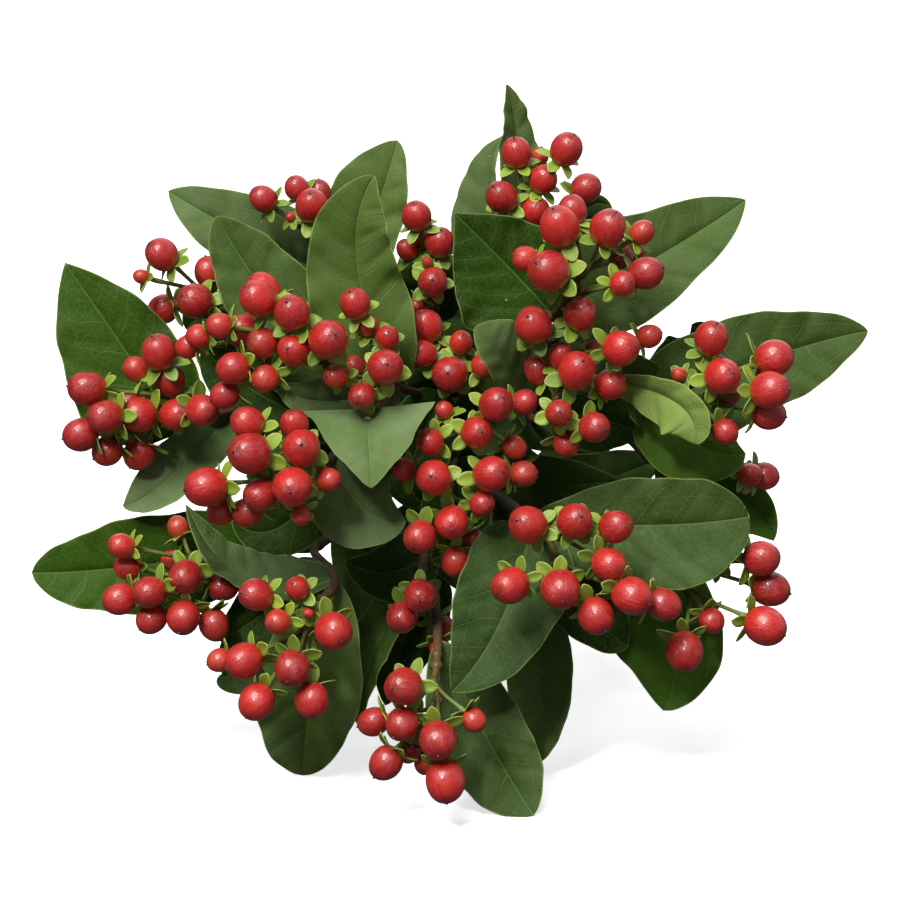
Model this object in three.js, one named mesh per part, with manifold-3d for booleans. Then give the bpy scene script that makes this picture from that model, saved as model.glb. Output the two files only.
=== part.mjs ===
import * as THREE from "three";
import Module from "manifold-3d";

// A tied bunch of hypericum stems with berries, laid down on its side. Lengths are millimetres.
//
// The bunch is made in a frame of its own: x runs to the right and y up across the head, and z runs
// along the stems, from the cut ends to the head. z is 0 near the front of the head and is called
// depth. The whole bunch is turned down on its side at the end.

// ---- Driving dimensions ----

const REACH_OF_EYE = 1100; // the head is laid out on lines that meet this far in front of it
const SLOPE = 14.25; // degrees between the stems and the surface the bunch lies on

const CUT_DEPTH = -398;
const CUT_STAGGER = 5; // the stems are cut to lengths that differ by up to twice this
const CUT_TURN = 2.4; // sets which stem is cut shorter, radians from one stem to the next
const CUT_SPREAD = 1.5; // how much wider the bundle is at its cut ends than at the tie
const TIE_DEPTH = -290;
const STEM_RADIUS = 2.2;
const STEM_TIP_RADIUS = 1.7;
const STEM_SIDES = 5;
const RING_RADII = [2.75, 7.3]; // of the inner and the outer ring of stems in the tie

const BAND_GAP = 0.3;
const BAND_THICKNESS = 1.4;
const BAND_WIDTH = 7;
const BAND_SIDES = 24;

const FORK_INWARD = 0.8; // a stem forks this share of its clusters' distance from the middle
const FORK_BEHIND = 30; // and this far behind the deepest of them
const BRANCH_RADIUS = 1.3;
const BRANCH_SIDES = 4;
const BRANCH_SUNK = 3; // a branch starts this far down in its stem
const TOUCHING_GAP = 0.3;

const CLUSTER_REACH = 30; // from the foot of a cluster to its front
const CLUSTER_LEAN = 55; // degrees that a cluster 100 mm from the middle leans outwards
const FOOT_LENGTH = 4;
const FORK_SHARE = 0.38; // how far along the way to its berries a branchlet forks
const FORKS = 2;
const BRANCHLET_RADIUS = 0.95;
const STALK_RADIUS = 0.65;
const KNUCKLE_RADIUS = 2.3;
const KNUCKLE_SWELL = 1.6; // a branchlet begins to swell this many knuckle radii before its end
const ROOT_OFFSET = 1.1;

// A berry from its stalk to its tip, heights and radii in shares of the berry's own radius.
const STALK_TOP = -1.12;
const STALK_SIDES = 3;
const COLLAR = { height: -0.72, radius: 1.15, sides: 5 };
const BELLY = { height: 0.06, radius: 1, sides: 10 };
const SHOULDER = { height: 0.82, radius: 0.66, sides: 5 };
const BERRY_TIP = 1.12;
const BERRY_GAP = 0.4;
const BERRY_STEP = 0.5;

const BLADE_THICKNESS = 1.3;
const BLADE_FOLD = 12; // degrees that each half of a blade rises from its midrib
const BLADE_BASE_HALF_WIDTH = 0.7;
const BLADE_EARLY = 0.6; // under 1: the widest place lies nearer to the base
const BLADE_POINT = 0.8; // the higher, the sharper the tip
const BLADE_MARGIN = 1.0;
const CLEARING_PASSES = 12;

const RISE_STRAIGHT = 90; // a stem leaves the tie straight, for about this long
const RISE_BEND = 45;
const RISE_STEPS = 8;
const BRANCH_BEND = 12;
const BRANCH_STEPS = 3;
const BRANCH_END = 2; // the last stretch of a branch runs straight up to its cluster

// Balls that stand for a cluster and for a blade while other blades are bent clear of them.
const BERRY_BALL = 1.1; // in berry radii
const COLLAR_BALL = { height: -0.6, radius: 1.38 };
const STALK_BALL_STEP = 2;
const STALK_BALL_RADIUS = 1.1;
const BLADE_BALL_RADIUS = 1.8;
const NEAR_DISTANCE = 8;
const BASE_FREE_RADIUS = 9; // blades of one pair may meet this close to their base

// Each berry is [x, y, diameter, drop]: where it stands across the head, and how far it lies behind
// the front of its cluster. The clusters go from the nearest to the deepest.
const CLUSTERS = {
  e: {
    front: 5,
    berries: [
      [-57, -1, 12, 0], [-45, -10.5, 11.5, 0], [-42.5, 0.5, 11, 1], [-57.5, 7.5, 9.5, 6],
      [-44.5, 7, 8.5, 6], [-69, -10.5, 11.5, 6], [-54, -12.5, 9.5, 6], [-42.5, -18.5, 5.5, 6],
    ],
  },
  d1: {
    front: 0,
    berries: [
      [-35, 31.5, 11.5, 0], [-45, 39, 10.5, 1], [-44.5, 28.5, 9.5, 2], [-54.5, 43, 10.5, 4],
      [-53, 30.5, 9, 4], [-59, 34, 10, 4],
    ],
  },
  n: {
    front: 0,
    berries: [
      [28.5, 51, 12, 0], [49, 47.5, 7.5, 0], [31.5, 63.5, 11.5, 2], [45, 63, 10.5, 2],
      [55.5, 50.5, 9.5, 3], [54.5, 62, 7, 4],
    ],
  },
  r: {
    front: 0,
    berries: [
      [17.5, -38.5, 10.5, 0], [31.5, -39.5, 11.5, 0], [51.5, -41.5, 11, 1], [22.5, -21.5, 11, 2],
      [35.5, -20.5, 10.5, 2], [45, -32.5, 9.5, 2], [47, -22, 9.5, 3], [41.5, -47, 10.5, 3],
    ],
  },
  h: {
    front: -5,
    berries: [
      [-13, -67.5, 11, 0], [-3.5, -82.5, 11, 0], [-13.5, -78, 9.5, 3], [-1.5, -94, 11.5, 4],
      [6.5, -77, 7, 6],
    ],
  },
  d2: {
    front: -5,
    berries: [
      [-18.5, 23.5, 10.5, 0], [-27, 41.5, 9, 2], [-32.5, 21, 7, 3], [-25, 15.5, 8, 3],
      [-18, 32, 7, 4], [-23.5, 35.5, 6.5, 5],
    ],
  },
  o1: {
    front: -8,
    berries: [
      [48.5, 29, 10.5, 0], [24, 35.5, 11, 3], [37, 38.5, 9.5, 3],
    ],
  },
  o2: {
    front: -10,
    berries: [
      [36, 22.5, 11, 0], [31, 10.5, 8, 1], [41, 6.5, 9, 2],
    ],
  },
  p: {
    front: -10,
    berries: [
      [77.5, 21, 10.5, 0], [91, 17, 11, 0], [74.5, 31.5, 10, 2], [92, 26, 11, 2],
      [78.5, 5.5, 7.5, 6],
    ],
  },
  g: {
    front: -10,
    berries: [
      [-49, -49, 7.5, 0], [-45, -62, 10.5, 0], [-55, -41.5, 9.5, 2], [-43.5, -39.5, 7, 2],
      [-33.5, -51.5, 11, 2], [-58.5, -60, 10.5, 2], [-55, -71.5, 10.5, 3], [-39.5, -71, 10, 4],
    ],
  },
  j2: {
    front: -14,
    berries: [
      [13, 13, 10, 0], [7.5, 5, 9.5, 2], [-5.5, 2.5, 8, 2],
    ],
  },
  j1: {
    front: -15,
    berries: [
      [-4.5, -8, 10.5, 0], [11.5, -7, 10.5, 0], [-8.5, -24.5, 9.5, 2], [0.5, -20.5, 10, 3],
      [9, -15.5, 7.5, 3], [-13, -5.5, 7, 6],
    ],
  },
  s: {
    front: -25,
    berries: [
      [89.5, -50, 11.5, 0], [67, -57, 11, 0], [88.5, -31, 10.5, 3], [77.5, -32.5, 5, 3],
      [91, -39.5, 10.5, 4], [74.5, -48.5, 7.5, 4],
    ],
  },
  a: {
    front: -25,
    berries: [
      [-98, 9.5, 10, 0], [-88.5, 10, 10.5, 1], [-103, 17.5, 10.5, 2], [-83, 27.5, 10.5, 3],
      [-80, 19.5, 9.5, 4], [-105, 4.5, 10, 6],
    ],
  },
  m: {
    front: -30,
    berries: [
      [33, 85.5, 9.5, 0], [19, 84.5, 9, 2], [15, 72, 9.5, 2], [26.5, 77, 8.5, 3], [38.5, 74.5, 9, 3],
      [24, 68, 9, 6],
    ],
  },
  f: {
    front: -30,
    berries: [
      [-85.5, -40.5, 9.5, 0], [-94, -42.5, 9.5, 1], [-75.5, -36, 10, 2], [-93.5, -27.5, 7.5, 2],
      [-76, -47.5, 10, 2], [-85, -48, 9, 6],
    ],
  },
  l: {
    front: -35,
    berries: [
      [9.5, 24, 7.5, 0], [0, 21.5, 11, 2], [-7.5, 27.5, 8, 4], [3, 30.5, 7, 6],
    ],
  },
  i: {
    front: -35,
    berries: [
      [-8.5, -41.5, 10, 0], [-13.5, -47.5, 9.5, 6],
    ],
  },
  b: {
    front: -35,
    berries: [
      [-82, 55.5, 9.5, 0], [-72.5, 42.5, 10.5, 0],
    ],
  },
  c: {
    front: -40,
    berries: [
      [-39.5, 69.5, 10, 0], [-53, 71.5, 8, 4], [-43.5, 74.5, 7.5, 4],
    ],
  },
  k: {
    front: -40,
    berries: [
      [-5, 48, 9, 0], [-9.5, 66.5, 9, 2], [-3, 59, 9, 6],
    ],
  },
  q: {
    front: -45,
    berries: [
      [85.5, -7, 7, 0], [89.5, -7.5, 8.5, 5],
    ],
  },
};

// A stem stands in a ring of the bundle, 0 inside and 1 outside, at an angle in degrees.
const STEMS = {
  1: { ring: 1, angle: 130, clusters: ["a", "b"] },
  2: { ring: 1, angle: 90, clusters: ["c", "k"] },
  3: { ring: 1, angle: 170, clusters: ["d1", "e"] },
  4: { ring: 0, angle: 150, clusters: ["d2", "l"] },
  5: { ring: 1, angle: 210, clusters: ["f", "g"] },
  6: { ring: 1, angle: 250, clusters: ["h", "i"] },
  7: { ring: 0, angle: 270, clusters: ["j1", "j2"] },
  8: { ring: 1, angle: 50, clusters: ["m", "n"] },
  9: { ring: 0, angle: 30, clusters: ["o1", "o2"] },
  10: { ring: 1, angle: 10, clusters: ["p", "q"] },
  11: { ring: 1, angle: 290, clusters: ["r"] },
  12: { ring: 1, angle: 330, clusters: ["s"] },
};

// A leaf grows from the branch under a cluster, this far back from the cluster's foot, or from the
// spur that stands on the branch there. Its midrib runs through the point via to the tip. All three
// are [x, y, depth]. Left and right are its widest half widths on either side of the midrib. Early and
// point stand in for BLADE_EARLY and BLADE_POINT. Lobe is how far its edges sweep back at the base.
// Roll turns the blade about its midrib.
const LEAVES = {
  broad_upper_left: {
    on: "a", back: 8, spur: [-77, 5, -52], tip: [-110, 53.5, -50], via: [-93.5, 29.5, -49],
    left: 22, right: 16, early: 0.65, point: 0.9,
  },
  far_upper_left: {
    on: "c", back: 12, tip: [-80.5, 74, -62], via: [-58.5, 61.5, -60],
    left: 12.5, right: 14,
  },
  upper_left: {
    on: "d1", back: 8, tip: [-66.5, 67, -36], via: [-54.5, 47.5, -36],
    left: 14, right: 15, early: 0.5, point: 0.7,
  },
  upright: {
    on: "d2", back: 12, tip: [-21.5, 78.5, -22], via: [-26.5, 53.5, -28],
    left: 17, right: 13, point: 0.75,
  },
  behind_upright: {
    on: "c", back: 10, tip: [-15, 88.5, -62], via: [-20.5, 70, -62],
    left: 17.5, right: 9.5, point: 0.7,
  },
  top: { on: "m", back: 8, tip: [16, 104.5, -50], via: [19, 84, -56], left: 12.5, right: 8.5, roll: 50 },
  top_folded: {
    on: "m", back: 14, tip: [16, 90.5, -60], via: [11, 73.5, -62],
    left: 14.5, right: 7, early: 0.4, point: 1.2, roll: -30,
  },
  yellow_rimmed: {
    on: "n", back: 8, tip: [1, 68, -22], via: [15.5, 53.5, -28],
    left: 21, right: 16.5, early: 0.75, point: 1.2,
  },
  far_upper_right: {
    on: "n", back: 14, tip: [84.5, 71.5, -38], via: [61.5, 56.5, -34],
    left: 16.5, right: 15, early: 0.5,
  },
  right: {
    on: "p", back: 10, tip: [119.5, 34, -42], via: [93, 27, -44],
    left: 15.5, right: 17, early: 0.5, point: 0.7,
  },
  curled_grey: {
    on: "o2", back: 8, tip: [7.5, 35.5, -24], via: [15, 26, -28],
    left: 9, right: 10, roll: 35, early: 1.1,
  },
  draped_grey: {
    on: "d2", back: 10, spur: [-23.5, 8.5, -12], tip: [-22.5, -11, -2], via: [-23, -0.5, -6],
    left: 19.5, right: 18.5, early: 0.25, lobe: 4,
  },
  draped_side: { on: "d2", back: 14, tip: [-49.5, 19, -14], via: [-36, 14, -20], left: 7, right: 8 },
  lower_grey: { on: "e", back: 8, tip: [-12.5, -20.5, -24], via: [-25, -16.5, -26], left: 15, right: 14.5 },
  curled_left: {
    on: "a", back: 14, tip: [-93.5, -16, -42], via: [-81, -8.5, -46],
    left: 9.5, right: 9, roll: 20,
  },
  far_left: {
    on: "f", back: 8, tip: [-119.5, -35, -48], via: [-93, -33.5, -50],
    left: 15.5, right: 15, point: 0.6,
  },
  strip_left: {
    on: "g", back: 12, tip: [-75.5, -15.5, -38], via: [-59, -35.5, -42],
    left: 10, right: 10, roll: 50,
  },
  dark_middle: { on: "i", back: 8, tip: [-30, -31.5, -52], via: [-18.5, -35, -58], left: 10, right: 11 },
  lower_left: {
    on: "g", back: 8, tip: [-42, -93, -64], via: [-39.5, -68.5, -48],
    left: 15, right: 17, early: 0.95, point: 0.7,
  },
  lower_folded: {
    on: "i", back: 14, tip: [-25.5, -79.5, -56], via: [-21.5, -58, -60],
    left: 10, right: 10, roll: 50,
  },
  middle_low: { on: "r", back: 8, tip: [0.5, -69, -18], via: [14.5, -49, -20], left: 16, right: 17 },
  lowest: {
    on: "h", back: 8, tip: [24, -104.5, -28], via: [11.5, -84, -34],
    left: 13, right: 15, early: 0.95, point: 0.7,
  },
  lowest_behind: {
    on: "r", back: 22, tip: [25, -89.5, -58], via: [26, -63.5, -56],
    left: 11, right: 11, roll: 20, early: 0.8,
  },
  wavy_right: {
    on: "r", back: 14, tip: [85.5, -19, -24], via: [58.5, -21.5, -26],
    left: 14.5, right: 19, early: 1.15, point: 0.6,
  },
  lower_right: {
    on: "s", back: 8, tip: [61, -74.5, -52], via: [64.5, -53, -54],
    left: 14.5, right: 20.5, early: 0.85, point: 0.7,
  },
  bright_right: { on: "q", back: 8, tip: [92.5, -26, -64], via: [82, -13, -66], left: 8.5, right: 13 },
  pale_curled: {
    on: "o1", back: 8, tip: [70, 1.5, -14], via: [60, 16, -18],
    left: 7, right: 10, roll: 25, early: 2,
  },
  pale_upper: {
    on: "p", back: 14, tip: [50.5, 28, -16], via: [53, 19.5, -24],
    left: 9, right: 9, roll: 40,
  },
  pale_edged: { on: "p", back: 14, tip: [84.5, -1, -38], via: [72, 1, -38], left: 12, right: 13 },
};

// A pair of lower leaves stands on every stem, at a share of the way from the tie to the fork: the
// stems of the inner ring carry it higher than those of the outer ring.
const LOWER_LEAVES = [
  { at: 0.86, spread: 60, length: 37, width: 19, lean: 45 },
  { at: 0.66, spread: 50, length: 48, width: 24, lean: 56 },
];

const LOWER_ARCH = 12; // degrees that the first half of a lower leaf stands steeper than the whole

const FRONT_STATIONS = [0, 0.13, 0.32, 0.53, 0.73, 0.9, 1];
const LOWER_STATIONS = [0, 0.2, 0.5, 0.8, 1];

const BERRY_RED = { color: 0xb3241f, roughness: 0.35, metalness: 0 };
const LEAF_GREEN = { color: 0x2f5a2c, roughness: 0.55, metalness: 0 };
const BAND_TAN = { color: 0xb08a58, roughness: 0.7, metalness: 0 };

const wasm = await Module();
wasm.setup();

// ---- Places ----

const radians = THREE.MathUtils.degToRad;

function place([x, y], depth) {
  const widening = 1 - depth / REACH_OF_EYE;
  return new THREE.Vector3(x * widening, y * widening, depth);
}

function between(from, to, share) {
  return from.clone().lerp(to, share);
}

function toward(from, to) {
  return to.clone().sub(from).normalize();
}

function along(point, direction, distance) {
  return point.clone().addScaledVector(direction, distance);
}

function mean(points) {
  const sum = new THREE.Vector3();
  points.forEach((point) => sum.add(point));
  return sum.divideScalar(points.length);
}

// The direction across the bunch at an angle from x.
function turned(angle) {
  return new THREE.Vector3(Math.cos(angle), Math.sin(angle), 0);
}

// Two directions square to an axis and to each other.
function crossAxes(axis) {
  const reference = Math.abs(axis.y) > 0.9 ? new THREE.Vector3(1, 0, 0) : new THREE.Vector3(0, 1, 0);
  const first = reference.cross(axis).normalize();
  return [first, axis.clone().cross(first)];
}

// The foot of a cluster lies behind it and towards the middle of the bunch, so outer clusters lean out.
function clusterFoot({ front, berries }) {
  const x = berries.reduce((sum, berry) => sum + berry[0], 0) / berries.length;
  const y = berries.reduce((sum, berry) => sum + berry[1], 0) / berries.length;
  const distance = Math.hypot(x, y);
  const lean = radians((CLUSTER_LEAN * distance) / 100);
  const inward = 1 - (CLUSTER_REACH * Math.sin(lean)) / distance;
  const foot = place([x * inward, y * inward], front - CLUSTER_REACH * Math.cos(lean));
  return { foot, out: toward(foot, place([x, y], front)) };
}

// Each berry sinks back along its line of sight until it is clear of every berry placed before it.
function placeBerries(clusters) {
  const placed = [];
  for (const [name, cluster] of Object.entries(clusters)) {
    for (const [x, y, diameter, drop] of cluster.berries) {
      const radius = diameter / 2;
      let depth = cluster.front - drop;
      const crowded = () => {
        const centre = place([x, y], depth);
        return placed.some((other) => centre.distanceTo(other.centre) < radius + other.radius + BERRY_GAP);
      };
      while (crowded()) {
        depth -= BERRY_STEP;
      }
      placed.push({ cluster: name, centre: place([x, y], depth), radius });
    }
  }
  return placed;
}

// The berries of a cluster are shared among its forks by the side of the cluster they stand on.
function forkBerries(berries, start) {
  const middle = mean(berries.map((berry) => berry.centre));
  const forks = [];
  for (let fork = 0; fork < FORKS; fork += 1) {
    const group = berries.filter(({ centre }) => {
      const turn = Math.atan2(centre.y - middle.y, centre.x - middle.x) / (2 * Math.PI) + 0.5;
      return Math.min(Math.floor(turn * FORKS), FORKS - 1) === fork;
    });
    if (group.length > 0) {
      const point = between(start, mean(group.map((berry) => berry.centre)), FORK_SHARE);
      const direction = toward(start, point);
      group.forEach((berry) => {
        const aside = berry.centre.clone().sub(point).projectOnPlane(direction).normalize();
        berry.root = along(point, aside, ROOT_OFFSET);
        berry.axis = toward(berry.root, berry.centre);
      });
      forks.push(point);
    }
  }
  return forks;
}

// ---- Closed meshes ----

function solid(vertices, triangles) {
  const vertProperties = new Float32Array(vertices.flatMap(({ x, y, z }) => [x, y, z]));
  const triVerts = new Uint32Array(triangles.flat());
  return new wasm.Manifold(new wasm.Mesh({ numProp: 3, vertProperties, triVerts }));
}

// Triangles between two rings of vertex numbers, which may differ in count. A ring of one is a pole.
function band(lower, upper) {
  const lowerSteps = lower.length > 1 ? lower.length : 0;
  const upperSteps = upper.length > 1 ? upper.length : 0;
  const triangles = [];
  let i = 0;
  let j = 0;
  while (i < lowerSteps || j < upperSteps) {
    const a = lower[i % lower.length];
    const b = upper[j % upper.length];
    if (j >= upperSteps || (i < lowerSteps && (i + 1) / lowerSteps <= (j + 1) / upperSteps)) {
      i += 1;
      triangles.push([a, lower[i % lower.length], b]);
    } else {
      j += 1;
      triangles.push([a, upper[j % upper.length], b]);
    }
  }
  return triangles;
}

// A closed skin over rings of points, from the first ring to the last.
function skin(rings) {
  const vertices = rings.flat();
  let count = 0;
  const numbers = rings.map((ring) => ring.map(() => count++));
  const triangles = numbers.slice(1).flatMap((ring, k) => band(numbers[k], ring));
  const first = numbers[0];
  const last = numbers[numbers.length - 1];
  for (let k = 1; k < first.length - 1; k += 1) {
    triangles.push([first[0], first[k + 1], first[k]]);
  }
  for (let k = 1; k < last.length - 1; k += 1) {
    triangles.push([last[0], last[k], last[k + 1]]);
  }
  return solid(vertices, triangles);
}

function ringOf(centre, [side, up], count, radius) {
  return Array.from({ length: count }, (_, k) => {
    const angle = (2 * Math.PI * k) / count;
    return along(along(centre, side, radius * Math.cos(angle)), up, radius * Math.sin(angle));
  });
}

function tube(points, radii, sides) {
  let [side] = crossAxes(toward(points[0], points[1]));
  const rings = points.map((point, k) => {
    const direction = toward(points[Math.max(k - 1, 0)], points[Math.min(k + 1, points.length - 1)]);
    side = side.clone().addScaledVector(direction, -side.dot(direction)).normalize();
    return ringOf(point, [side, direction.clone().cross(side)], sides, radii[k]);
  });
  return skin(rings);
}

// A straight branchlet that swells at its far end, where stalks or other branchlets grow from it.
function knuckled(from, to, radius, knuckle) {
  const direction = toward(from, to);
  const across = crossAxes(direction);
  return skin([
    ringOf(from, across, BRANCH_SIDES, radius),
    ringOf(along(to, direction, -KNUCKLE_SWELL * knuckle), across, BRANCH_SIDES, radius),
    ringOf(to, across, BRANCH_SIDES, knuckle),
    [along(to, direction, knuckle)],
  ]);
}

// One berry with its collar of five sepals and its stalk, from the fork out to the berry's tip.
function berrySolid({ centre, axis, radius, root }) {
  const across = crossAxes(axis);
  const at = (height) => along(centre, axis, height * radius);
  return skin([
    ringOf(root, across, STALK_SIDES, STALK_RADIUS),
    ringOf(at(STALK_TOP), across, STALK_SIDES, STALK_RADIUS),
    ...[COLLAR, BELLY, SHOULDER].map((ring) => {
      return ringOf(at(ring.height), across, ring.sides, ring.radius * radius);
    }),
    [at(BERRY_TIP)],
  ]);
}

// ---- Leaves ----

function midribOf(base, via, tip) {
  const bend = via.clone().multiplyScalar(2).sub(mean([base, tip]));
  return new THREE.QuadraticBezierCurve3(base, bend, tip);
}

// Half the width of a blade at a share of its length: it is widest before the middle.
function halfWidth(widest, share, early, point) {
  const warped = share ** early;
  const swell = (4 * warped * (1 - warped)) ** point;
  return Math.max(widest * swell, BLADE_BASE_HALF_WIDTH * (1 - share));
}

// Rows of [left edge, midrib, right edge] from the base to the tip, with the blade's own normal.
function bladeRows({
  midrib, stations, left, right, early = BLADE_EARLY, point = BLADE_POINT, lobe = 0, roll = 0,
}) {
  return stations.map((share) => {
    const middle = midrib.getPoint(share);
    const direction = midrib.getTangent(share);
    const side = new THREE.Vector3(0, 0, 1).cross(direction).normalize();
    side.applyAxisAngle(direction, radians(roll));
    const normal = direction.clone().cross(side);
    const swept = along(middle, direction, -lobe * (1 - share) ** 3);
    const edge = (sign, widest) => {
      const half = halfWidth(widest, share, early, point);
      const beside = along(swept, side, sign * half * Math.cos(radians(BLADE_FOLD)));
      return along(beside, normal, half * Math.sin(radians(BLADE_FOLD)));
    };
    const points = share < 1 ? [edge(1, left), middle, edge(-1, right)] : [middle, middle, middle];
    return { points, normal };
  });
}

// Points spread over a blade, each with the corners of its patch and their weights.
function bladeSamples(rows) {
  const steps = [0.125, 0.375, 0.625, 0.875];
  const samples = [];
  for (let k = 0; k < rows.length - 1; k += 1) {
    for (const half of [0, 1]) {
      const corners = [rows[k], rows[k + 1]].flatMap(({ points }) => points.slice(half, half + 2));
      for (const a of steps) {
        for (const b of steps) {
          const weights = [(1 - a) * (1 - b), (1 - a) * b, a * (1 - b), a * b];
          const point = new THREE.Vector3();
          corners.forEach((corner, c) => point.addScaledVector(corner, weights[c]));
          samples.push({ point, corners, weights, fixed: k === 0 });
        }
      }
    }
  }
  return samples;
}

// A blade passes wholly in front of or wholly behind each thing it meets: +1 or -1 for each thing.
function sidesTaken(samples, obstacles, ownCluster) {
  const sums = new Map();
  for (const { point } of samples) {
    for (const obstacle of obstacles) {
      const gap = Math.hypot(point.x - obstacle.centre.x, point.y - obstacle.centre.y);
      if (gap < obstacle.radius + BLADE_MARGIN) {
        sums.set(obstacle.thing, (sums.get(obstacle.thing) ?? 0) + point.z - obstacle.centre.z);
      }
    }
  }
  const sides = new Map([...sums].map(([thing, sum]) => [thing, sum < 0 ? -1 : 1]));
  sides.set(ownCluster, -1);
  return sides;
}

// Bends a blade forwards or backwards until it is clear of the things that stand in its way.
function bendClear(rows, obstacles, ownCluster) {
  const sides = sidesTaken(bladeSamples(rows), obstacles, ownCluster);
  for (let pass = 0; pass < CLEARING_PASSES; pass += 1) {
    const moves = new Map();
    for (const { point, corners, weights, fixed } of bladeSamples(rows)) {
      let shift = 0;
      for (const { centre, radius, thing } of obstacles) {
        const reach = radius + BLADE_MARGIN;
        const gap = Math.hypot(point.x - centre.x, point.y - centre.y);
        if (gap < reach && sides.has(thing)) {
          const side = sides.get(thing);
          const needed = side * Math.sqrt(reach * reach - gap * gap) - (point.z - centre.z);
          if (needed * side > 0 && Math.abs(needed) > Math.abs(shift)) {
            shift = needed;
          }
        }
      }
      corners.forEach((corner, c) => {
        const move = fixed && c < 2 ? 0 : shift * weights[c];
        if (Math.abs(move) > Math.abs(moves.get(corner) ?? 0)) {
          moves.set(corner, move);
        }
      });
    }
    moves.forEach((move, corner) => {
      corner.z += move;
    });
  }
}

// The blade is a thin lens across: both faces share its edges and are split alike along its length.
function bladeSolid(rows) {
  const vertices = [];
  const numbers = rows.map(({ points: [left, middle, right], normal }, k) => {
    const first = vertices.length;
    if (k === rows.length - 1) {
      vertices.push(middle);
      return [first, first, first, first];
    }
    const upper = along(middle, normal, BLADE_THICKNESS / 2);
    const lower = along(middle, normal, -BLADE_THICKNESS / 2);
    vertices.push(left, upper, right, lower);
    return [first, first + 1, first + 2, first + 3];
  });
  const triangles = [];
  const quad = (a, b, c, d, flip) => {
    const halves = [[a, b, c], [a, c, d]];
    for (const half of halves) {
      if (new Set(half).size === 3) {
        triangles.push(flip ? half.reverse() : half);
      }
    }
  };
  for (let k = 0; k < numbers.length - 1; k += 1) {
    const [left, upper, right, lower] = numbers[k];
    const [nextLeft, nextUpper, nextRight, nextLower] = numbers[k + 1];
    quad(left, upper, nextUpper, nextLeft, false);
    quad(upper, right, nextRight, nextUpper, false);
    quad(left, lower, nextLower, nextLeft, true);
    quad(lower, right, nextRight, nextLower, true);
  }
  const [left, upper, right, lower] = numbers[0];
  triangles.push([left, lower, right], [left, right, upper]);
  return solid(vertices, triangles);
}

// ---- Clusters ----

const berries = placeBerries(CLUSTERS);

function makeCluster(name) {
  const { foot, out } = clusterFoot(CLUSTERS[name]);
  const knot = along(foot, out, FOOT_LENGTH);
  const own = berries.filter((berry) => berry.cluster === name);
  const forks = forkBerries(own, knot);
  const start = along(foot, out, TOUCHING_GAP);
  const parts = [knuckled(start, knot, BRANCH_RADIUS, KNUCKLE_RADIUS)];
  for (const fork of forks) {
    parts.push(knuckled(knot, fork, BRANCHLET_RADIUS, KNUCKLE_RADIUS));
  }
  const lines = [[start, knot], ...forks.map((fork) => [knot, fork])];
  for (const berry of own) {
    parts.push(berrySolid(berry));
    lines.push([berry.root, along(berry.centre, berry.axis, -berry.radius)]);
  }
  return { name, foot, out, own, lines, solid: fuse(parts) };
}

// Balls that fill out a cluster: its berries, their collars and every stalk and branchlet.
function clusterObstacles({ name, own, lines }) {
  const balls = own.flatMap(({ centre, axis, radius }) => [
    { thing: name, centre, radius: BERRY_BALL * radius },
    {
      thing: name,
      centre: along(centre, axis, COLLAR_BALL.height * radius),
      radius: COLLAR_BALL.radius * radius,
    },
  ]);
  for (const [from, to] of lines) {
    const steps = Math.ceil(from.distanceTo(to) / STALK_BALL_STEP);
    for (let k = 0; k <= steps; k += 1) {
      balls.push({ thing: name, centre: between(from, to, k / steps), radius: STALK_BALL_RADIUS });
    }
  }
  return balls;
}

// ---- Stems ----

function makeStem([name, { ring, angle, clusters: names }], index) {
  const own = names.map((cluster) => clusters[cluster]);
  const middle = mean(own.map(({ foot }) => foot));
  const depth = Math.min(...own.map(({ foot }) => foot.z)) - FORK_BEHIND;
  const fork = new THREE.Vector3(middle.x * FORK_INWARD, middle.y * FORK_INWARD, depth);
  const slot = turned(radians(angle)).multiplyScalar(RING_RADII[ring]);
  const cutDepth = CUT_DEPTH + CUT_STAGGER * Math.sin(CUT_TURN * index);
  const cut = slot.clone().multiplyScalar(CUT_SPREAD).setZ(cutDepth);
  const belowTie = slot.clone().setZ(TIE_DEPTH - BAND_WIDTH);
  const aboveTie = slot.clone().setZ(TIE_DEPTH + BAND_WIDTH);
  const lean = mean([mean(own.map(({ out }) => out)), new THREE.Vector3(0, 0, 1)]).normalize();
  const rise = new THREE.CubicBezierCurve3(
    aboveTie,
    aboveTie.clone().setZ(TIE_DEPTH + RISE_STRAIGHT),
    along(fork, lean, -RISE_BEND),
    fork,
  );
  const branches = own.map(({ name: cluster, foot, out }) => {
    const end = along(foot, out, -BRANCH_END);
    const bends = [along(fork, lean, BRANCH_BEND), along(end, out, -BRANCH_BEND)];
    return { cluster, foot, line: new THREE.CubicBezierCurve3(fork, ...bends, end) };
  });
  return { name, ring, cut, belowTie, rise, branches, lean, spurs: [], blades: [] };
}

function woodParts({ cut, belowTie, rise, branches, lean, spurs }) {
  const risePoints = rise.getPoints(RISE_STEPS);
  const trunk = [cut, belowTie, ...risePoints];
  const risen = (k) => Math.max(k - 1, 0) / RISE_STEPS;
  const taper = trunk.map((point, k) => THREE.MathUtils.lerp(STEM_RADIUS, STEM_TIP_RADIUS, risen(k)));
  const wood = [tube(trunk, taper, STEM_SIDES)];
  for (const { foot, line } of branches) {
    const points = [...line.getPoints(BRANCH_STEPS), foot];
    points[0] = along(points[0], lean, -BRANCH_SUNK);
    wood.push(tube(points, points.map(() => BRANCH_RADIUS), BRANCH_SIDES));
  }
  for (const spur of spurs) {
    wood.push(tube(spur, spur.map(() => BRANCH_RADIUS), BRANCH_SIDES));
  }
  return wood;
}

// ---- Blades ----

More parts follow.
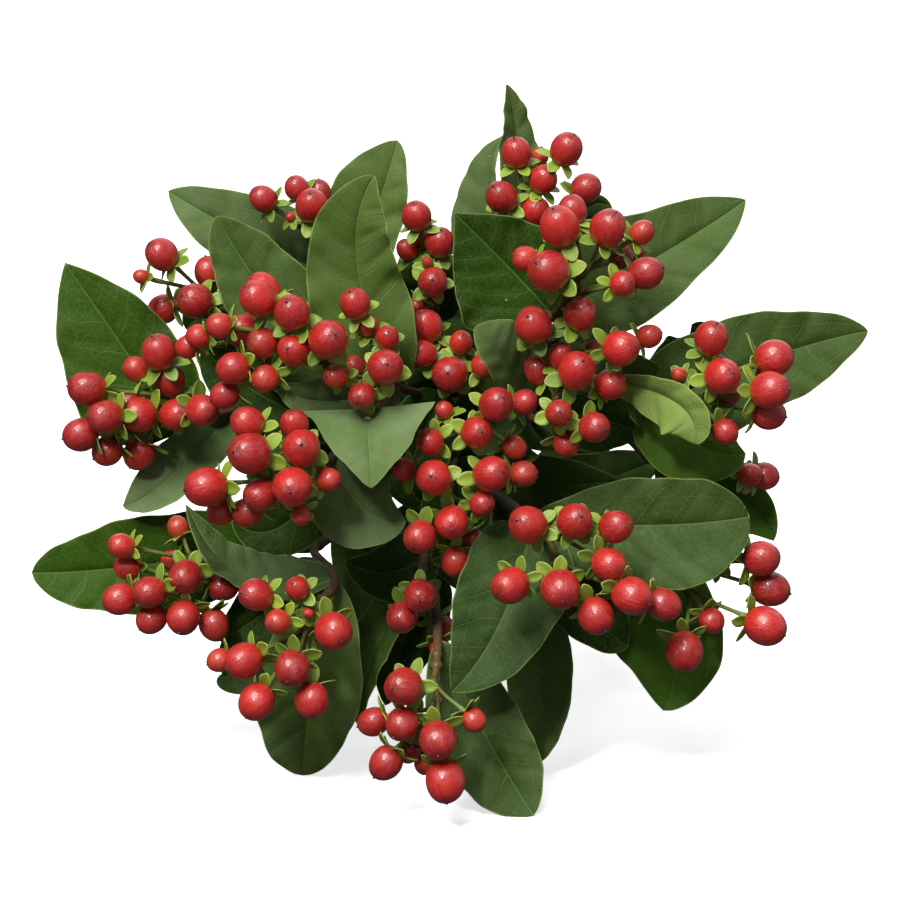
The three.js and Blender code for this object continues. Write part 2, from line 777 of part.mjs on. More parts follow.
function frontBlade({ on, back, spur, tip, via, ...shape }) {
  const stem = stems.find(({ branches }) => branches.some(({ cluster }) => cluster === on));
  const { line } = stem.branches.find(({ cluster }) => cluster === on);
  let base = line.getPoint(Math.max(1 - back / line.v0.distanceTo(line.v3), 0));
  if (spur) {
    const spurEnd = place(spur, spur[2]);
    stem.spurs.push([base, spurEnd]);
    base = spurEnd;
  }
  const midrib = midribOf(base, place(via, via[2]), place(tip, tip[2]));
  return { stem, ownCluster: on, rows: bladeRows({ midrib, stations: FRONT_STATIONS, ...shape }) };
}

function lowerBlades(stem) {
  const { at, spread, length, width, lean } = LOWER_LEAVES[stem.ring];
  return [1, -1].map((side) => {
    const base = stem.rise.getPoint(at);
    const outward = turned(Math.atan2(base.y, base.x) + side * radians(spread));
    const reach = (distance, angle) => {
      const beside = along(base, outward, distance * Math.sin(radians(angle)));
      return beside.setZ(base.z + distance * Math.cos(radians(angle)));
    };
    const midrib = midribOf(base, reach(length / 2, lean - LOWER_ARCH), reach(length, lean));
    const shape = { left: width / 2, right: width / 2, stations: LOWER_STATIONS };
    return { stem, ownCluster: null, rows: bladeRows({ midrib, ...shape }) };
  });
}

function nearBlade(rows, obstacles) {
  const base = rows[0].points[1];
  const corners = rows.flatMap(({ points }) => points).map(({ x, y }) => new THREE.Vector2(x, y));
  const box = new THREE.Box2().setFromPoints(corners).expandByScalar(NEAR_DISTANCE);
  return obstacles.filter(({ centre }) => {
    return box.containsPoint(centre) && centre.distanceTo(base) > BASE_FREE_RADIUS;
  });
}

function growBlades(blades, obstacles) {
  blades.forEach(({ stem, ownCluster, rows }, number) => {
    bendClear(rows, nearBlade(rows, obstacles), ownCluster);
    stem.blades.push(bladeSolid(rows));
    for (const { point } of bladeSamples(rows)) {
      obstacles.push({ thing: number, centre: point, radius: BLADE_BALL_RADIUS });
    }
  });
}

// ---- The tie ----

function makeBand() {
  const inner = RING_RADII[1] + STEM_RADIUS + BAND_GAP;
  const outer = inner + BAND_THICKNESS;
  const half = BAND_WIDTH / 2;
  const section = [[inner, -half], [outer, -half], [outer, half], [inner, half], [inner, -half]];
  const profile = section.map(([x, y]) => new THREE.Vector2(x, y));
  const geometry = new THREE.LatheGeometry(profile, BAND_SIDES);
  geometry.rotateX(Math.PI / 2);
  geometry.translate(0, 0, TIE_DEPTH);
  return geometry;
}

// ---- The bunch ----

// Joins solids in one, fills any hollow that this seals and drops loose scraps.
function fuse(solids) {
  const pieces = wasm.Manifold.union(solids).decompose();
  return pieces.reduce((largest, piece) => (piece.volume() > largest.volume() ? piece : largest));
}

function named(name, geometry, look) {
  const mesh = new THREE.Mesh(geometry, new THREE.MeshStandardMaterial(look));
  mesh.name = name;
  return mesh;
}

function geometryOf(manifold) {
  const { vertProperties, triVerts } = manifold.getMesh();
  const geometry = new THREE.BufferGeometry();
  geometry.setAttribute("position", new THREE.BufferAttribute(vertProperties, 3));
  geometry.setIndex(new THREE.BufferAttribute(triVerts, 1));
  geometry.computeVertexNormals();
  return geometry;
}

const clusters = Object.fromEntries(Object.keys(CLUSTERS).map((name) => [name, makeCluster(name)]));
const stems = Object.entries(STEMS).map(makeStem);
const obstacles = Object.values(clusters).flatMap(clusterObstacles);
growBlades([...Object.values(LEAVES).map(frontBlade), ...stems.flatMap(lowerBlades)], obstacles);

const bunch = new THREE.Group();
for (const stem of stems) {
  const leafy = fuse([...woodParts(stem), ...stem.blades]);
  bunch.add(named(`leafy_stem_${stem.name}`, geometryOf(leafy), LEAF_GREEN));
}
for (const { name, solid: cluster } of Object.values(clusters)) {
  bunch.add(named(`berries_${name}`, geometryOf(cluster), BERRY_RED));
}
bunch.add(named("rubber_band", makeBand(), BAND_TAN));

// Laid down on its side, the middle of its underside at the origin.
bunch.rotation.x = Math.PI / 2 - radians(SLOPE);
const part = new THREE.Group();
part.add(bunch);
part.updateMatrixWorld(true);
const bounds = new THREE.Box3().setFromObject(bunch, true);
const centre = bounds.getCenter(new THREE.Vector3());
bunch.position.set(-centre.x, -centre.y, -bounds.min.z);
part.updateMatrixWorld(true);

export default part;
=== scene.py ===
"""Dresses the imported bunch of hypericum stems: fine leaves, berries, sepals, wood and its rubber band.

Every table is in millimetres, in the bunch's own frame: x runs to the right and y up across the head,
and z, called depth, along the stems, from the cut ends to the front of the head, where it is about 0.
"""

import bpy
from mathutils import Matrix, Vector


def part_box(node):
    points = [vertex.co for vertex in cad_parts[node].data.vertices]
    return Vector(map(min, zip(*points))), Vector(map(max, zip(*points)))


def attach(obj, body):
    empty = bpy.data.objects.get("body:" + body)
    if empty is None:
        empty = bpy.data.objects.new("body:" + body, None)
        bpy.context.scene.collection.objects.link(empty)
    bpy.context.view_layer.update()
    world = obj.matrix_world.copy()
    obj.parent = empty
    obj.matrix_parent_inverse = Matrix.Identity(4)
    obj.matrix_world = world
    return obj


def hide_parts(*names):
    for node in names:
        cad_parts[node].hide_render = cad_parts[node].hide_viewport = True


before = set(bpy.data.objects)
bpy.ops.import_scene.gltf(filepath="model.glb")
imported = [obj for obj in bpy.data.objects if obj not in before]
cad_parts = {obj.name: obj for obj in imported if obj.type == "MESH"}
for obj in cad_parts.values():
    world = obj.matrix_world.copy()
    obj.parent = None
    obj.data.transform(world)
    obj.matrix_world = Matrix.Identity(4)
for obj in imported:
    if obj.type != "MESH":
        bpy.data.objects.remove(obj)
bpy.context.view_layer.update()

import math
from math import cos, pi, radians, sin

import bpy
import numpy as np
from mathutils import Matrix
from numpy.linalg import norm

# ---- Driving dimensions, the same as the solids' ----

REACH_OF_EYE = 1100
SLOPE = radians(14.25)
CUT_DEPTH = -398
CUT_STAGGER = 5
CUT_TURN = 2.4
CUT_SPREAD = 1.5
TIE_DEPTH = -290
STEM_RADIUS = 2.2
STEM_TIP_RADIUS = 1.7
RING_RADII = [2.75, 7.3]
BAND_WIDTH = 7
FORK_INWARD = 0.8
FORK_BEHIND = 30
BRANCH_RADIUS = 1.3
BRANCH_SUNK = 3
CLUSTER_REACH = 30
CLUSTER_LEAN = 55
FOOT_LENGTH = 4
FORK_SHARE = 0.38
FORKS = 2
BRANCHLET_RADIUS = 0.95
STALK_RADIUS = 0.65
ROOT_OFFSET = 1.1
BERRY_GAP = 0.4
BERRY_STEP = 0.5
BLADE_FOLD = radians(12)
BLADE_BASE_HALF_WIDTH = 0.7
BLADE_EARLY = 0.6
BLADE_POINT = 0.8
BLADE_MARGIN = 1.0
CLEARING_PASSES = 12
RISE_STRAIGHT = 90
RISE_BEND = 45
BRANCH_BEND = 12
BRANCH_END = 2
BERRY_BALL = 1.1
COLLAR_BALL_HEIGHT = -0.6
COLLAR_BALL = 1.38
STALK_BALL_STEP = 2
STALK_BALL_RADIUS = 1.1
BLADE_BALL_RADIUS = 1.8
NEAR_DISTANCE = 8
BASE_FREE_RADIUS = 9

# A berry is [x, y, diameter, drop]: where it stands across the head, and how far it lies behind the
# front of its cluster, whose depth comes first. The clusters go from the nearest to the deepest.
CLUSTERS = {
    "e": (5, [
        [-57, -1, 12, 0], [-45, -10.5, 11.5, 0], [-42.5, 0.5, 11, 1], [-57.5, 7.5, 9.5, 6],
        [-44.5, 7, 8.5, 6], [-69, -10.5, 11.5, 6], [-54, -12.5, 9.5, 6], [-42.5, -18.5, 5.5, 6],
    ]),
    "d1": (0, [
        [-35, 31.5, 11.5, 0], [-45, 39, 10.5, 1], [-44.5, 28.5, 9.5, 2], [-54.5, 43, 10.5, 4],
        [-53, 30.5, 9, 4], [-59, 34, 10, 4],
    ]),
    "n": (0, [
        [28.5, 51, 12, 0], [49, 47.5, 7.5, 0], [31.5, 63.5, 11.5, 2], [45, 63, 10.5, 2],
        [55.5, 50.5, 9.5, 3], [54.5, 62, 7, 4],
    ]),
    "r": (0, [
        [17.5, -38.5, 10.5, 0], [31.5, -39.5, 11.5, 0], [51.5, -41.5, 11, 1], [22.5, -21.5, 11, 2],
        [35.5, -20.5, 10.5, 2], [45, -32.5, 9.5, 2], [47, -22, 9.5, 3], [41.5, -47, 10.5, 3],
    ]),
    "h": (-5, [
        [-13, -67.5, 11, 0], [-3.5, -82.5, 11, 0], [-13.5, -78, 9.5, 3], [-1.5, -94, 11.5, 4],
        [6.5, -77, 7, 6],
    ]),
    "d2": (-5, [
        [-18.5, 23.5, 10.5, 0], [-27, 41.5, 9, 2], [-32.5, 21, 7, 3], [-25, 15.5, 8, 3],
        [-18, 32, 7, 4], [-23.5, 35.5, 6.5, 5],
    ]),
    "o1": (-8, [[48.5, 29, 10.5, 0], [24, 35.5, 11, 3], [37, 38.5, 9.5, 3]]),
    "o2": (-10, [[36, 22.5, 11, 0], [31, 10.5, 8, 1], [41, 6.5, 9, 2]]),
    "p": (-10, [
        [77.5, 21, 10.5, 0], [91, 17, 11, 0], [74.5, 31.5, 10, 2], [92, 26, 11, 2],
        [78.5, 5.5, 7.5, 6],
    ]),
    "g": (-10, [
        [-49, -49, 7.5, 0], [-45, -62, 10.5, 0], [-55, -41.5, 9.5, 2], [-43.5, -39.5, 7, 2],
        [-33.5, -51.5, 11, 2], [-58.5, -60, 10.5, 2], [-55, -71.5, 10.5, 3], [-39.5, -71, 10, 4],
    ]),
    "j2": (-14, [[13, 13, 10, 0], [7.5, 5, 9.5, 2], [-5.5, 2.5, 8, 2]]),
    "j1": (-15, [
        [-4.5, -8, 10.5, 0], [11.5, -7, 10.5, 0], [-8.5, -24.5, 9.5, 2], [0.5, -20.5, 10, 3],
        [9, -15.5, 7.5, 3], [-13, -5.5, 7, 6],
    ]),
    "s": (-25, [
        [89.5, -50, 11.5, 0], [67, -57, 11, 0], [88.5, -31, 10.5, 3], [77.5, -32.5, 5, 3],
        [91, -39.5, 10.5, 4], [74.5, -48.5, 7.5, 4],
    ]),
    "a": (-25, [
        [-98, 9.5, 10, 0], [-88.5, 10, 10.5, 1], [-103, 17.5, 10.5, 2], [-83, 27.5, 10.5, 3],
        [-80, 19.5, 9.5, 4], [-105, 4.5, 10, 6],
    ]),
    "m": (-30, [
        [33, 85.5, 9.5, 0], [19, 84.5, 9, 2], [15, 72, 9.5, 2], [26.5, 77, 8.5, 3], [38.5, 74.5, 9, 3],
        [24, 68, 9, 6],
    ]),
    "f": (-30, [
        [-85.5, -40.5, 9.5, 0], [-94, -42.5, 9.5, 1], [-75.5, -36, 10, 2], [-93.5, -27.5, 7.5, 2],
        [-76, -47.5, 10, 2], [-85, -48, 9, 6],
    ]),
    "l": (-35, [[9.5, 24, 7.5, 0], [0, 21.5, 11, 2], [-7.5, 27.5, 8, 4], [3, 30.5, 7, 6]]),
    "i": (-35, [[-8.5, -41.5, 10, 0], [-13.5, -47.5, 9.5, 6]]),
    "b": (-35, [[-82, 55.5, 9.5, 0], [-72.5, 42.5, 10.5, 0]]),
    "c": (-40, [[-39.5, 69.5, 10, 0], [-53, 71.5, 8, 4], [-43.5, 74.5, 7.5, 4]]),
    "k": (-40, [[-5, 48, 9, 0], [-9.5, 66.5, 9, 2], [-3, 59, 9, 6]]),
    "q": (-45, [[85.5, -7, 7, 0], [89.5, -7.5, 8.5, 5]]),
}

# More berries of the same clusters, deep among the others. The solids leave them out.
INNER_BERRIES = {
    "e": [[-35, -8.5, 7, 10], [-57.5, -17.5, 8.5, 12], [-65, -17.5, 8, 14]],
    "d1": [
        [-61.5, 23.5, 9.5, 8], [-52.5, 20.5, 8, 8], [-53, 45.5, 9.5, 9], [-65.5, 35.5, 7.5, 10],
        [-71.5, 32.5, 7, 12], [-64, 16, 8, 14], [-74.5, 29.5, 7, 16],
    ],
    "n": [[22, 54.5, 7.5, 8], [35, 68, 8.5, 10], [48.5, 55, 7, 10], [53, 57, 5.5, 12]],
    "r": [[60.5, -44, 9.5, 9]],
    "h": [[-18, -89, 9.5, 9], [-11.5, -85.5, 7, 9], [-7, -89, 6.5, 12], [-21.5, -77.5, 8.5, 14]],
    "d2": [[-27, 23.5, 7, 9]],
    "o1": [[56.5, 32.5, 7, 8], [41, 29, 4.5, 14]],
    "o2": [[45.5, 18.5, 9, 8], [31.5, 26.5, 7.5, 10], [25.5, 22.5, 8.5, 10], [33, 2, 7.5, 10]],
    "p": [[65.5, 21.5, 4.5, 4], [78.5, 16, 8.5, 9], [90.5, 10.5, 9.5, 9]],
    "g": [[-40.5, -46.5, 3.5, 4], [-65.5, -60, 7, 8], [-41, -53.5, 7, 10]],
    "j2": [[21, 13.5, 7.5, 10], [-1.5, 11, 5.5, 14], [18, 1, 7, 14]],
    "j1": [[20.5, -7, 8, 10], [6.5, -25.5, 6.5, 12], [1.5, -31.5, 8.5, 12]],
    "a": [
        [-97.5, 0, 9, 8], [-78.5, 10, 9.5, 9], [-89.5, 23, 7.5, 10], [-88.5, -0.5, 9.5, 12],
        [-71, 11.5, 9.5, 14], [-91.5, 13, 8, 14],
    ],
    "m": [[25.5, 83.5, 5.5, 10]],
    "f": [
        [-67.5, -49.5, 9, 8], [-91.5, -33.5, 8, 9], [-65.5, -39, 8.5, 10], [-79, -31.5, 6.5, 10],
        [-77.5, -22.5, 6.5, 12],
    ],
    "l": [[-6.5, 35, 9.5, 8], [-1.5, 30, 4.5, 12]],
    "i": [[-2.5, -50.5, 8, 8], [-3, -56.5, 6.5, 12]],
    "b": [[-88, 49.5, 4.5, 4], [-69, 50.5, 8.5, 8], [-81.5, 40.5, 9, 16]],
    "c": [[-45.5, 66.5, 3, 6], [-37.5, 73, 7.5, 8], [-30.5, 70.5, 6.5, 10]],
    "k": [[-6.5, 53.5, 3.5, 4], [-8, 60.5, 6.5, 8], [-12, 57, 6.5, 10], [-9.5, 41, 5.5, 12]],
}

# A stem stands in a ring of the bundle, 0 inside and 1 outside, at an angle in degrees. Its branches
# bear these clusters.
STEMS = {
    1: (1, 130, ["a", "b"]),
    2: (1, 90, ["c", "k"]),
    3: (1, 170, ["d1", "e"]),
    4: (0, 150, ["d2", "l"]),
    5: (1, 210, ["f", "g"]),
    6: (1, 250, ["h", "i"]),
    7: (0, 270, ["j1", "j2"]),
    8: (1, 50, ["m", "n"]),
    9: (0, 30, ["o1", "o2"]),
    10: (1, 10, ["p", "q"]),
    11: (1, 290, ["r"]),
    12: (1, 330, ["s"]),
}

# A leaf grows from the branch under a cluster, this far back from the cluster's foot. Its midrib runs
# through one point to its tip. Then come its widths on the left and on the right of the midrib, and how
# grey with bloom, how fresh and how light it is. The lightness is partly the leaf's own green and partly
# painted light and shade: it is raised on leaves that lie in the head's shadow and lowered on leaves
# in shade. Early and point shape its outline, roll turns it about its midrib, lobe draws its base back,
# and a spur carries its base away from the branch.
LEAVES = {
    "broad_upper_left": ("a", 8, [-93.5, 29.5, -49], [-110, 53.5, -50], 22, 16, (0, 0.25, 0.12),
        {"spur": [-77, 5, -52], "early": 0.65, "point": 0.9}),
    "far_upper_left": ("c", 12, [-58.5, 61.5, -60], [-80.5, 74, -62], 12.5, 14, (0.6, 0, 0.85), {}),
    "upper_left": ("d1", 8, [-54.5, 47.5, -36], [-66.5, 67, -36], 14, 15, (0.15, 0, 0.35),
        {"early": 0.5, "point": 0.7}),
    "upright": ("d2", 12, [-26.5, 53.5, -28], [-21.5, 78.5, -22], 17, 13, (0.25, 0.1, 0.85),
        {"point": 0.75}),
    "behind_upright": ("c", 10, [-20.5, 70, -62], [-15, 88.5, -62], 17.5, 9.5, (0.4, 0, 0.9),
        {"point": 0.7}),
    "top": ("m", 8, [19, 84, -56], [16, 104.5, -50], 12.5, 8.5, (0.6, 0, 1), {"roll": 50}),
    "top_folded": ("m", 14, [11, 73.5, -62], [16, 90.5, -60], 14.5, 7, (0.5, 0, 0.7),
        {"early": 0.4, "point": 1.2, "roll": -30}),
    "yellow_rimmed": ("n", 8, [15.5, 53.5, -28], [1, 68, -22], 21, 16.5, (0, 0.1, 0),
        {"early": 0.75, "point": 1.2}),
    "far_upper_right": ("n", 14, [61.5, 56.5, -34], [84.5, 71.5, -38], 16.5, 15, (0.25, 0, 0.6),
        {"early": 0.5}),
    "right": ("p", 10, [93, 27, -44], [119.5, 34, -42], 15.5, 17, (0.2, 0, 0.3),
        {"early": 0.5, "point": 0.7}),
    "curled_grey": ("o2", 8, [15, 26, -28], [7.5, 35.5, -24], 9, 10, (0.4, 0, 0.45),
        {"roll": 35, "early": 1.1}),
    "draped_grey": ("d2", 10, [-23, -0.5, -6], [-22.5, -11, -2], 19.5, 18.5, (1, 0, 1),
        {"spur": [-23.5, 8.5, -12], "early": 0.25, "lobe": 4}),
    "draped_side": ("d2", 14, [-36, 14, -20], [-49.5, 19, -14], 7, 8, (0.8, 0, 0.5), {}),
    "lower_grey": ("e", 8, [-25, -16.5, -26], [-12.5, -20.5, -24], 15, 14.5, (0.8, 0, 0.5), {}),
    "curled_left": ("a", 14, [-81, -8.5, -46], [-93.5, -16, -42], 9.5, 9, (1, 0, 0.7), {"roll": 20}),
    "far_left": ("f", 8, [-93, -33.5, -50], [-119.5, -35, -48], 15.5, 15, (0, 0.35, 0.15),
        {"point": 0.6}),
    "strip_left": ("g", 12, [-59, -35.5, -42], [-75.5, -15.5, -38], 10, 10, (0.6, 0, 0.2), {"roll": 50}),
    # This leaf takes the darkest tone: painted shade.
    "dark_middle": ("i", 8, [-18.5, -35, -58], [-30, -31.5, -52], 10, 11, (0, 0, 0), {}),
    # This leaf is made fully light: painted light on a leaf that lies in the head's shadow.
    "lower_left": ("g", 8, [-39.5, -68.5, -48], [-42, -93, -64], 15, 17, (0.4, 0.15, 1),
        {"early": 0.95, "point": 0.7}),
    "lower_folded": ("i", 14, [-21.5, -58, -60], [-25.5, -79.5, -56], 10, 10, (0.1, 0.2, 0.4),
        {"roll": 50}),
    "middle_low": ("r", 8, [14.5, -49, -20], [0.5, -69, -18], 16, 17, (0.25, 0, 0), {}),
    "lowest": ("h", 8, [11.5, -84, -34], [24, -104.5, -28], 13, 15, (0.3, 0, 0.25),
        {"early": 0.95, "point": 0.7}),
    "lowest_behind": ("r", 22, [26, -63.5, -56], [25, -89.5, -58], 11, 11, (0.2, 0, 0.6),
        {"roll": 20, "early": 0.8}),
    "wavy_right": ("r", 14, [58.5, -21.5, -26], [85.5, -19, -24], 14.5, 19, (0.15, 0, 0.25),
        {"early": 1.15, "point": 0.6}),
    "lower_right": ("s", 8, [64.5, -53, -54], [61, -74.5, -52], 14.5, 20.5, (0, 0.45, 0.75),
        {"early": 0.85, "point": 0.7}),
    # This leaf is made fully light: painted light on a leaf that lies in the head's shadow.
    "bright_right": ("q", 8, [82, -13, -66], [92.5, -26, -64], 8.5, 13, (0, 0.68, 1), {}),
    "pale_curled": ("o1", 8, [60, 16, -18], [70, 1.5, -14], 7, 10, (0.3, 1, 1), {"roll": 25, "early": 2}),
    "pale_upper": ("p", 14, [53, 19.5, -24], [50.5, 28, -16], 9, 9, (0.3, 0.3, 0.6), {"roll": 40}),
    "pale_edged": ("p", 14, [72, 1, -38], [84.5, -1, -38], 12, 13, (0, 0.35, 0.85), {}),
}

# More leaves, in the shade behind the front ones: their cluster, how far back, the point and the tip.
# The solids leave them out.
SHADE_LEAVES = {
    "shade_e_low": ("e", 16, [-47, -21, -50], [-62.5, -20, -50]),
    "shade_e_high": ("e", 20, [-58.5, 18.5, -56], [-70, 30, -56]),
    "shade_o2": ("o2", 14, [44.5, 8.5, -50], [54.5, 3, -50]),
    "shade_p": ("p", 16, [70, 27, -52], [69, 36, -52]),
    "shade_l_low": ("l", 10, [-11, -4.5, -60], [-7, -15.5, -62]),
    "shade_i": ("i", 20, [-13, -54.5, -72], [-18.5, -73, -72]),
    "shade_r": ("r", 16, [40.5, -46, -46], [51, -56, -46]),
    "shade_g": ("g", 16, [-53.5, -47, -50], [-65, -54.5, -50]),
    "shade_g_tip": ("g", 20, [-57, -59, -52], [-66, -64.5, -52]),
    "shade_n": ("n", 20, [37, 66, -46], [46.5, 68.5, -46]),
    "shade_k": ("k", 12, [-7, 50, -66], [-8.5, 64.5, -66]),
    "shade_j2": ("j2", 12, [14.5, 14.5, -60], [20, 26, -60]),
    "shade_j1": ("j1", 12, [1.5, -23, -60], [-5.5, -31.5, -60]),
    "shade_l_high": ("l", 16, [-5.5, 23, -72], [-14.5, 31.5, -72]),
    "shade_d1": ("d1", 16, [-51.5, 31.5, -52], [-61.5, 43, -52]),
    "shade_b": ("b", 14, [-67, 37, -62], [-75.5, 34.5, -62]),
}

SHADE_HALF_WIDTH = 11
NARROW_SHADE_LEAF = {"shade_n": {"left": 5}}
# The shade leaves are dark leaves set where the head lies in shade, and take the darkest tone: painted
# shade.
SHADE_TONE = (0, 0, 0)

# A pair of lower leaves stands on every stem, at a share of the way from the tie to the fork: first
# on the stems of the inner ring, then on those of the outer ring.
LOWER_LEAVES = [
    {"at": 0.86, "spread": 60, "length": 37, "width": 19, "lean": 45},
    {"at": 0.66, "spread": 50, "length": 48, "width": 24, "lean": 56},
]
LOWER_ARCH = 12
LOWER_TONE = (0.2, 0.15, 0.4)
FRONT_STATIONS = [0, 0.13, 0.32, 0.53, 0.73, 0.9, 1]
LOWER_STATIONS = [0, 0.2, 0.5, 0.8, 1]

# ---- Fine forms ----

SEED = 11
STEM_SIDES = 14
STEM_STEPS = 90
FOOT_STEPS = 34
NECK_STEPS = 6
SPUR_STEPS = 12
BRANCH_SIDES = 10
BRANCH_STEPS = 30
BRANCHLET_STEPS = 12
BERRY_SIDES = 28
BERRY_RINGS = 17
STALK_STEPS = 9
STALK_SIDES = 8
SEPAL_ROWS = 9
SEPAL_COLUMNS = 7
LEAF_STEP = 1.25
MIDRIB_STEPS = 12
BAND_STEPS = 240
BAND_SIDES = 16

FIRST_BLADE = 1000
BLADE_CORE_RADIUS = 1.1
LINE_BALLS = 9
INNER_SEEK = 40
MOST_HIDDEN = 0.6
SPOTS = 8
SPOT_REACH = 0.6
PUSH_MARGIN = 0.6
PUSH_PASSES = 4
PUSH_SMOOTHINGS = 2


def unit(vectors):
    return vectors / norm(vectors, axis=-1, keepdims=True)


def place(x, y, depth):
    widening = 1 - depth / REACH_OF_EYE
    return np.array([x * widening, y * widening, depth])


def turned(angle):
    return np.array([cos(angle), sin(angle), 0.0])


def spun(vectors, axes, angle):
    """Turns vectors about unit axes."""
    along = np.sum(axes * vectors, axis=-1, keepdims=True)
    return vectors * cos(angle) + np.cross(axes, vectors) * sin(angle) + axes * along * (1 - cos(angle))


def cross_axes(axis):
    reference = np.array([1.0, 0, 0]) if abs(axis[1]) > 0.9 else np.array([0, 1.0, 0])
    first = unit(np.cross(reference, axis))
    return first, np.cross(axis, first)


def curve_points(controls, shares):
    order = len(controls) - 1
    t = np.asarray(shares, float)[..., None]
    terms = [math.comb(order, k) * t**k * (1 - t) ** (order - k) for k in range(order + 1)]
    return sum(term * control for term, control in zip(terms, controls))


def curve_directions(controls, shares):
    return unit(curve_points([after - before for before, after in zip(controls, controls[1:])], shares))


def straight_points(start, end, count):
    return start + (end - start) * np.linspace(0, 1, count)[:, None]


def circle_angles(sides):
    return np.arange(sides) * 2 * pi / sides


def circle(sides):
    return np.cos(circle_angles(sides)), np.sin(circle_angles(sides))


def ring(side, up, sides):
    across, along = circle(sides)
    return across[:, None] * side + along[:, None] * up


# ---- Clusters ----


def cluster_foot(name):
    """The foot of a cluster and the direction in which it leans out."""
    front, berries = CLUSTERS[name]
    x, y = np.mean([berry[:2] for berry in berries], axis=0)
    distance = math.hypot(x, y)
    lean = radians(CLUSTER_LEAN * distance / 100)
    inward = 1 - CLUSTER_REACH * sin(lean) / distance
    foot = place(x * inward, y * inward, front - CLUSTER_REACH * cos(lean))
    return foot, unit(place(x, y, front) - foot)


def sunk_centre(berry, front, centres, radii):
    """Where a berry stands once it has sunk back clear of everything in front of it."""
    x, y, diameter, drop = berry
    depth = front - drop
    while True:
        centre = place(x, y, depth)
        if np.all(norm(centres - centre, axis=1) >= radii + diameter / 2 + BERRY_GAP):
            return centre
        depth -= BERRY_STEP


def place_berries():
    berries = []
    centres = np.empty((0, 3))
    radii = np.empty(0)
    for name, (front, rows) in CLUSTERS.items():
        for row in rows:
            centre = sunk_centre(row, front, centres, radii)
            centres = np.vstack([centres, centre])
            radii = np.append(radii, row[2] / 2)
            berries.append({"cluster": name, "centre": centre, "radius": row[2] / 2})
    return berries


def hang_berry(berry, fork, direction):
    """Gives a berry the root of its stalk, beside a fork, and the axis from there through its centre."""
    aside = berry["centre"] - fork
    berry["root"] = fork + unit(aside - direction * (aside @ direction)) * ROOT_OFFSET
    berry["axis"] = unit(berry["centre"] - berry["root"])


def fork_berries(berries, start):
    """The berries of a cluster are shared among its forks by the side of the cluster they stand on."""
    middle = np.mean([berry["centre"] for berry in berries], axis=0)
    groups = [[] for _ in range(FORKS)]
    for berry in berries:
        beside = berry["centre"] - middle
        turn = math.atan2(beside[1], beside[0]) / (2 * pi) + 0.5
        groups[min(int(turn * FORKS), FORKS - 1)].append(berry)
    forks = []
    for group in filter(None, groups):
        reach = np.mean([berry["centre"] for berry in group], axis=0) - start
        forks.append(start + reach * FORK_SHARE)
        for berry in group:
            hang_berry(berry, forks[-1], unit(reach))
    return forks


def make_cluster(name, berries):
    foot, out = cluster_foot(name)
    knot = foot + out * FOOT_LENGTH
    own = [berry for berry in berries if berry["cluster"] == name]
    forks = fork_berries(own, knot)
    lines = [(foot, knot)] + [(knot, fork) for fork in forks]
    lines += [(berry["root"], berry["centre"] - berry["axis"] * berry["radius"]) for berry in own]
    return {"name": name, "foot": foot, "out": out, "knot": knot, "forks": forks, "own": own, "lines": lines}


class Balls:
    """Balls that stand for things which blades keep clear of: centres, radii and what each belongs to."""

    def __init__(self):
        self.centres = np.empty((0, 3))
        self.radii = np.empty(0)
        self.things = np.empty(0, int)

    def add(self, centres, radius, thing):
        centres = np.reshape(centres, (-1, 3))
        self.centres = np.vstack([self.centres, centres])
        self.radii = np.append(self.radii, np.full(len(centres), radius))
        self.things = np.append(self.things, np.full(len(centres), thing))

    def chosen(self, mask):
        some = Balls()
        some.centres, some.radii, some.things = self.centres[mask], self.radii[mask], self.things[mask]
        return some

    def gaps_and_leads(self, points):
        """How far each point lies from each ball, seen from the front, and how far it lies ahead of it."""
        apart = points[:, None] - self.centres
        return np.hypot(apart[..., 0], apart[..., 1]), apart[..., 2]


def add_cluster_balls(balls, cluster, thing):
    for berry in cluster["own"]:
        centre, axis, radius = berry["centre"], berry["axis"], berry["radius"]
        balls.add(centre, BERRY_BALL * radius, thing)
        balls.add(centre + axis * COLLAR_BALL_HEIGHT * radius, COLLAR_BALL * radius, thing)
    for start, end in cluster["lines"]:
        steps = math.ceil(norm(end - start) / STALK_BALL_STEP)
        balls.add(straight_points(start, end, steps + 1), STALK_BALL_RADIUS, thing)


# ---- Stems ----


def make_stem(number, index, clusters):
    ring_number, angle, names = STEMS[number]
    own = [clusters[name] for name in names]
    feet = [cluster["foot"] for cluster in own]
    fork = np.mean(feet, axis=0) * FORK_INWARD
    fork[2] = min(foot[2] for foot in feet) - FORK_BEHIND
    slot = turned(radians(angle)) * RING_RADII[ring_number]
    cut = slot * CUT_SPREAD
    cut[2] = CUT_DEPTH + CUT_STAGGER * sin(CUT_TURN * index)
    up = np.array([0, 0, 1.0])
    lean = unit((np.mean([cluster["out"] for cluster in own], axis=0) + up) / 2)
    above = slot + up * (TIE_DEPTH + BAND_WIDTH)
    branches = {}
    for cluster in own:
        out = cluster["out"]
        end = cluster["foot"] - out * BRANCH_END
        branches[cluster["name"]] = [fork, fork + lean * BRANCH_BEND, end - out * BRANCH_BEND, end]
    return {
        "number": number,
        "ring": ring_number,
        "cut": cut,
        "below": slot + up * (TIE_DEPTH - BAND_WIDTH),
        "rise": [above, slot + up * (TIE_DEPTH + RISE_STRAIGHT), fork - lean * RISE_BEND, fork],
        "branches": branches,
        "lean": lean,
        "blades": [],
        "spurs": [],
    }


# ---- Blades ----


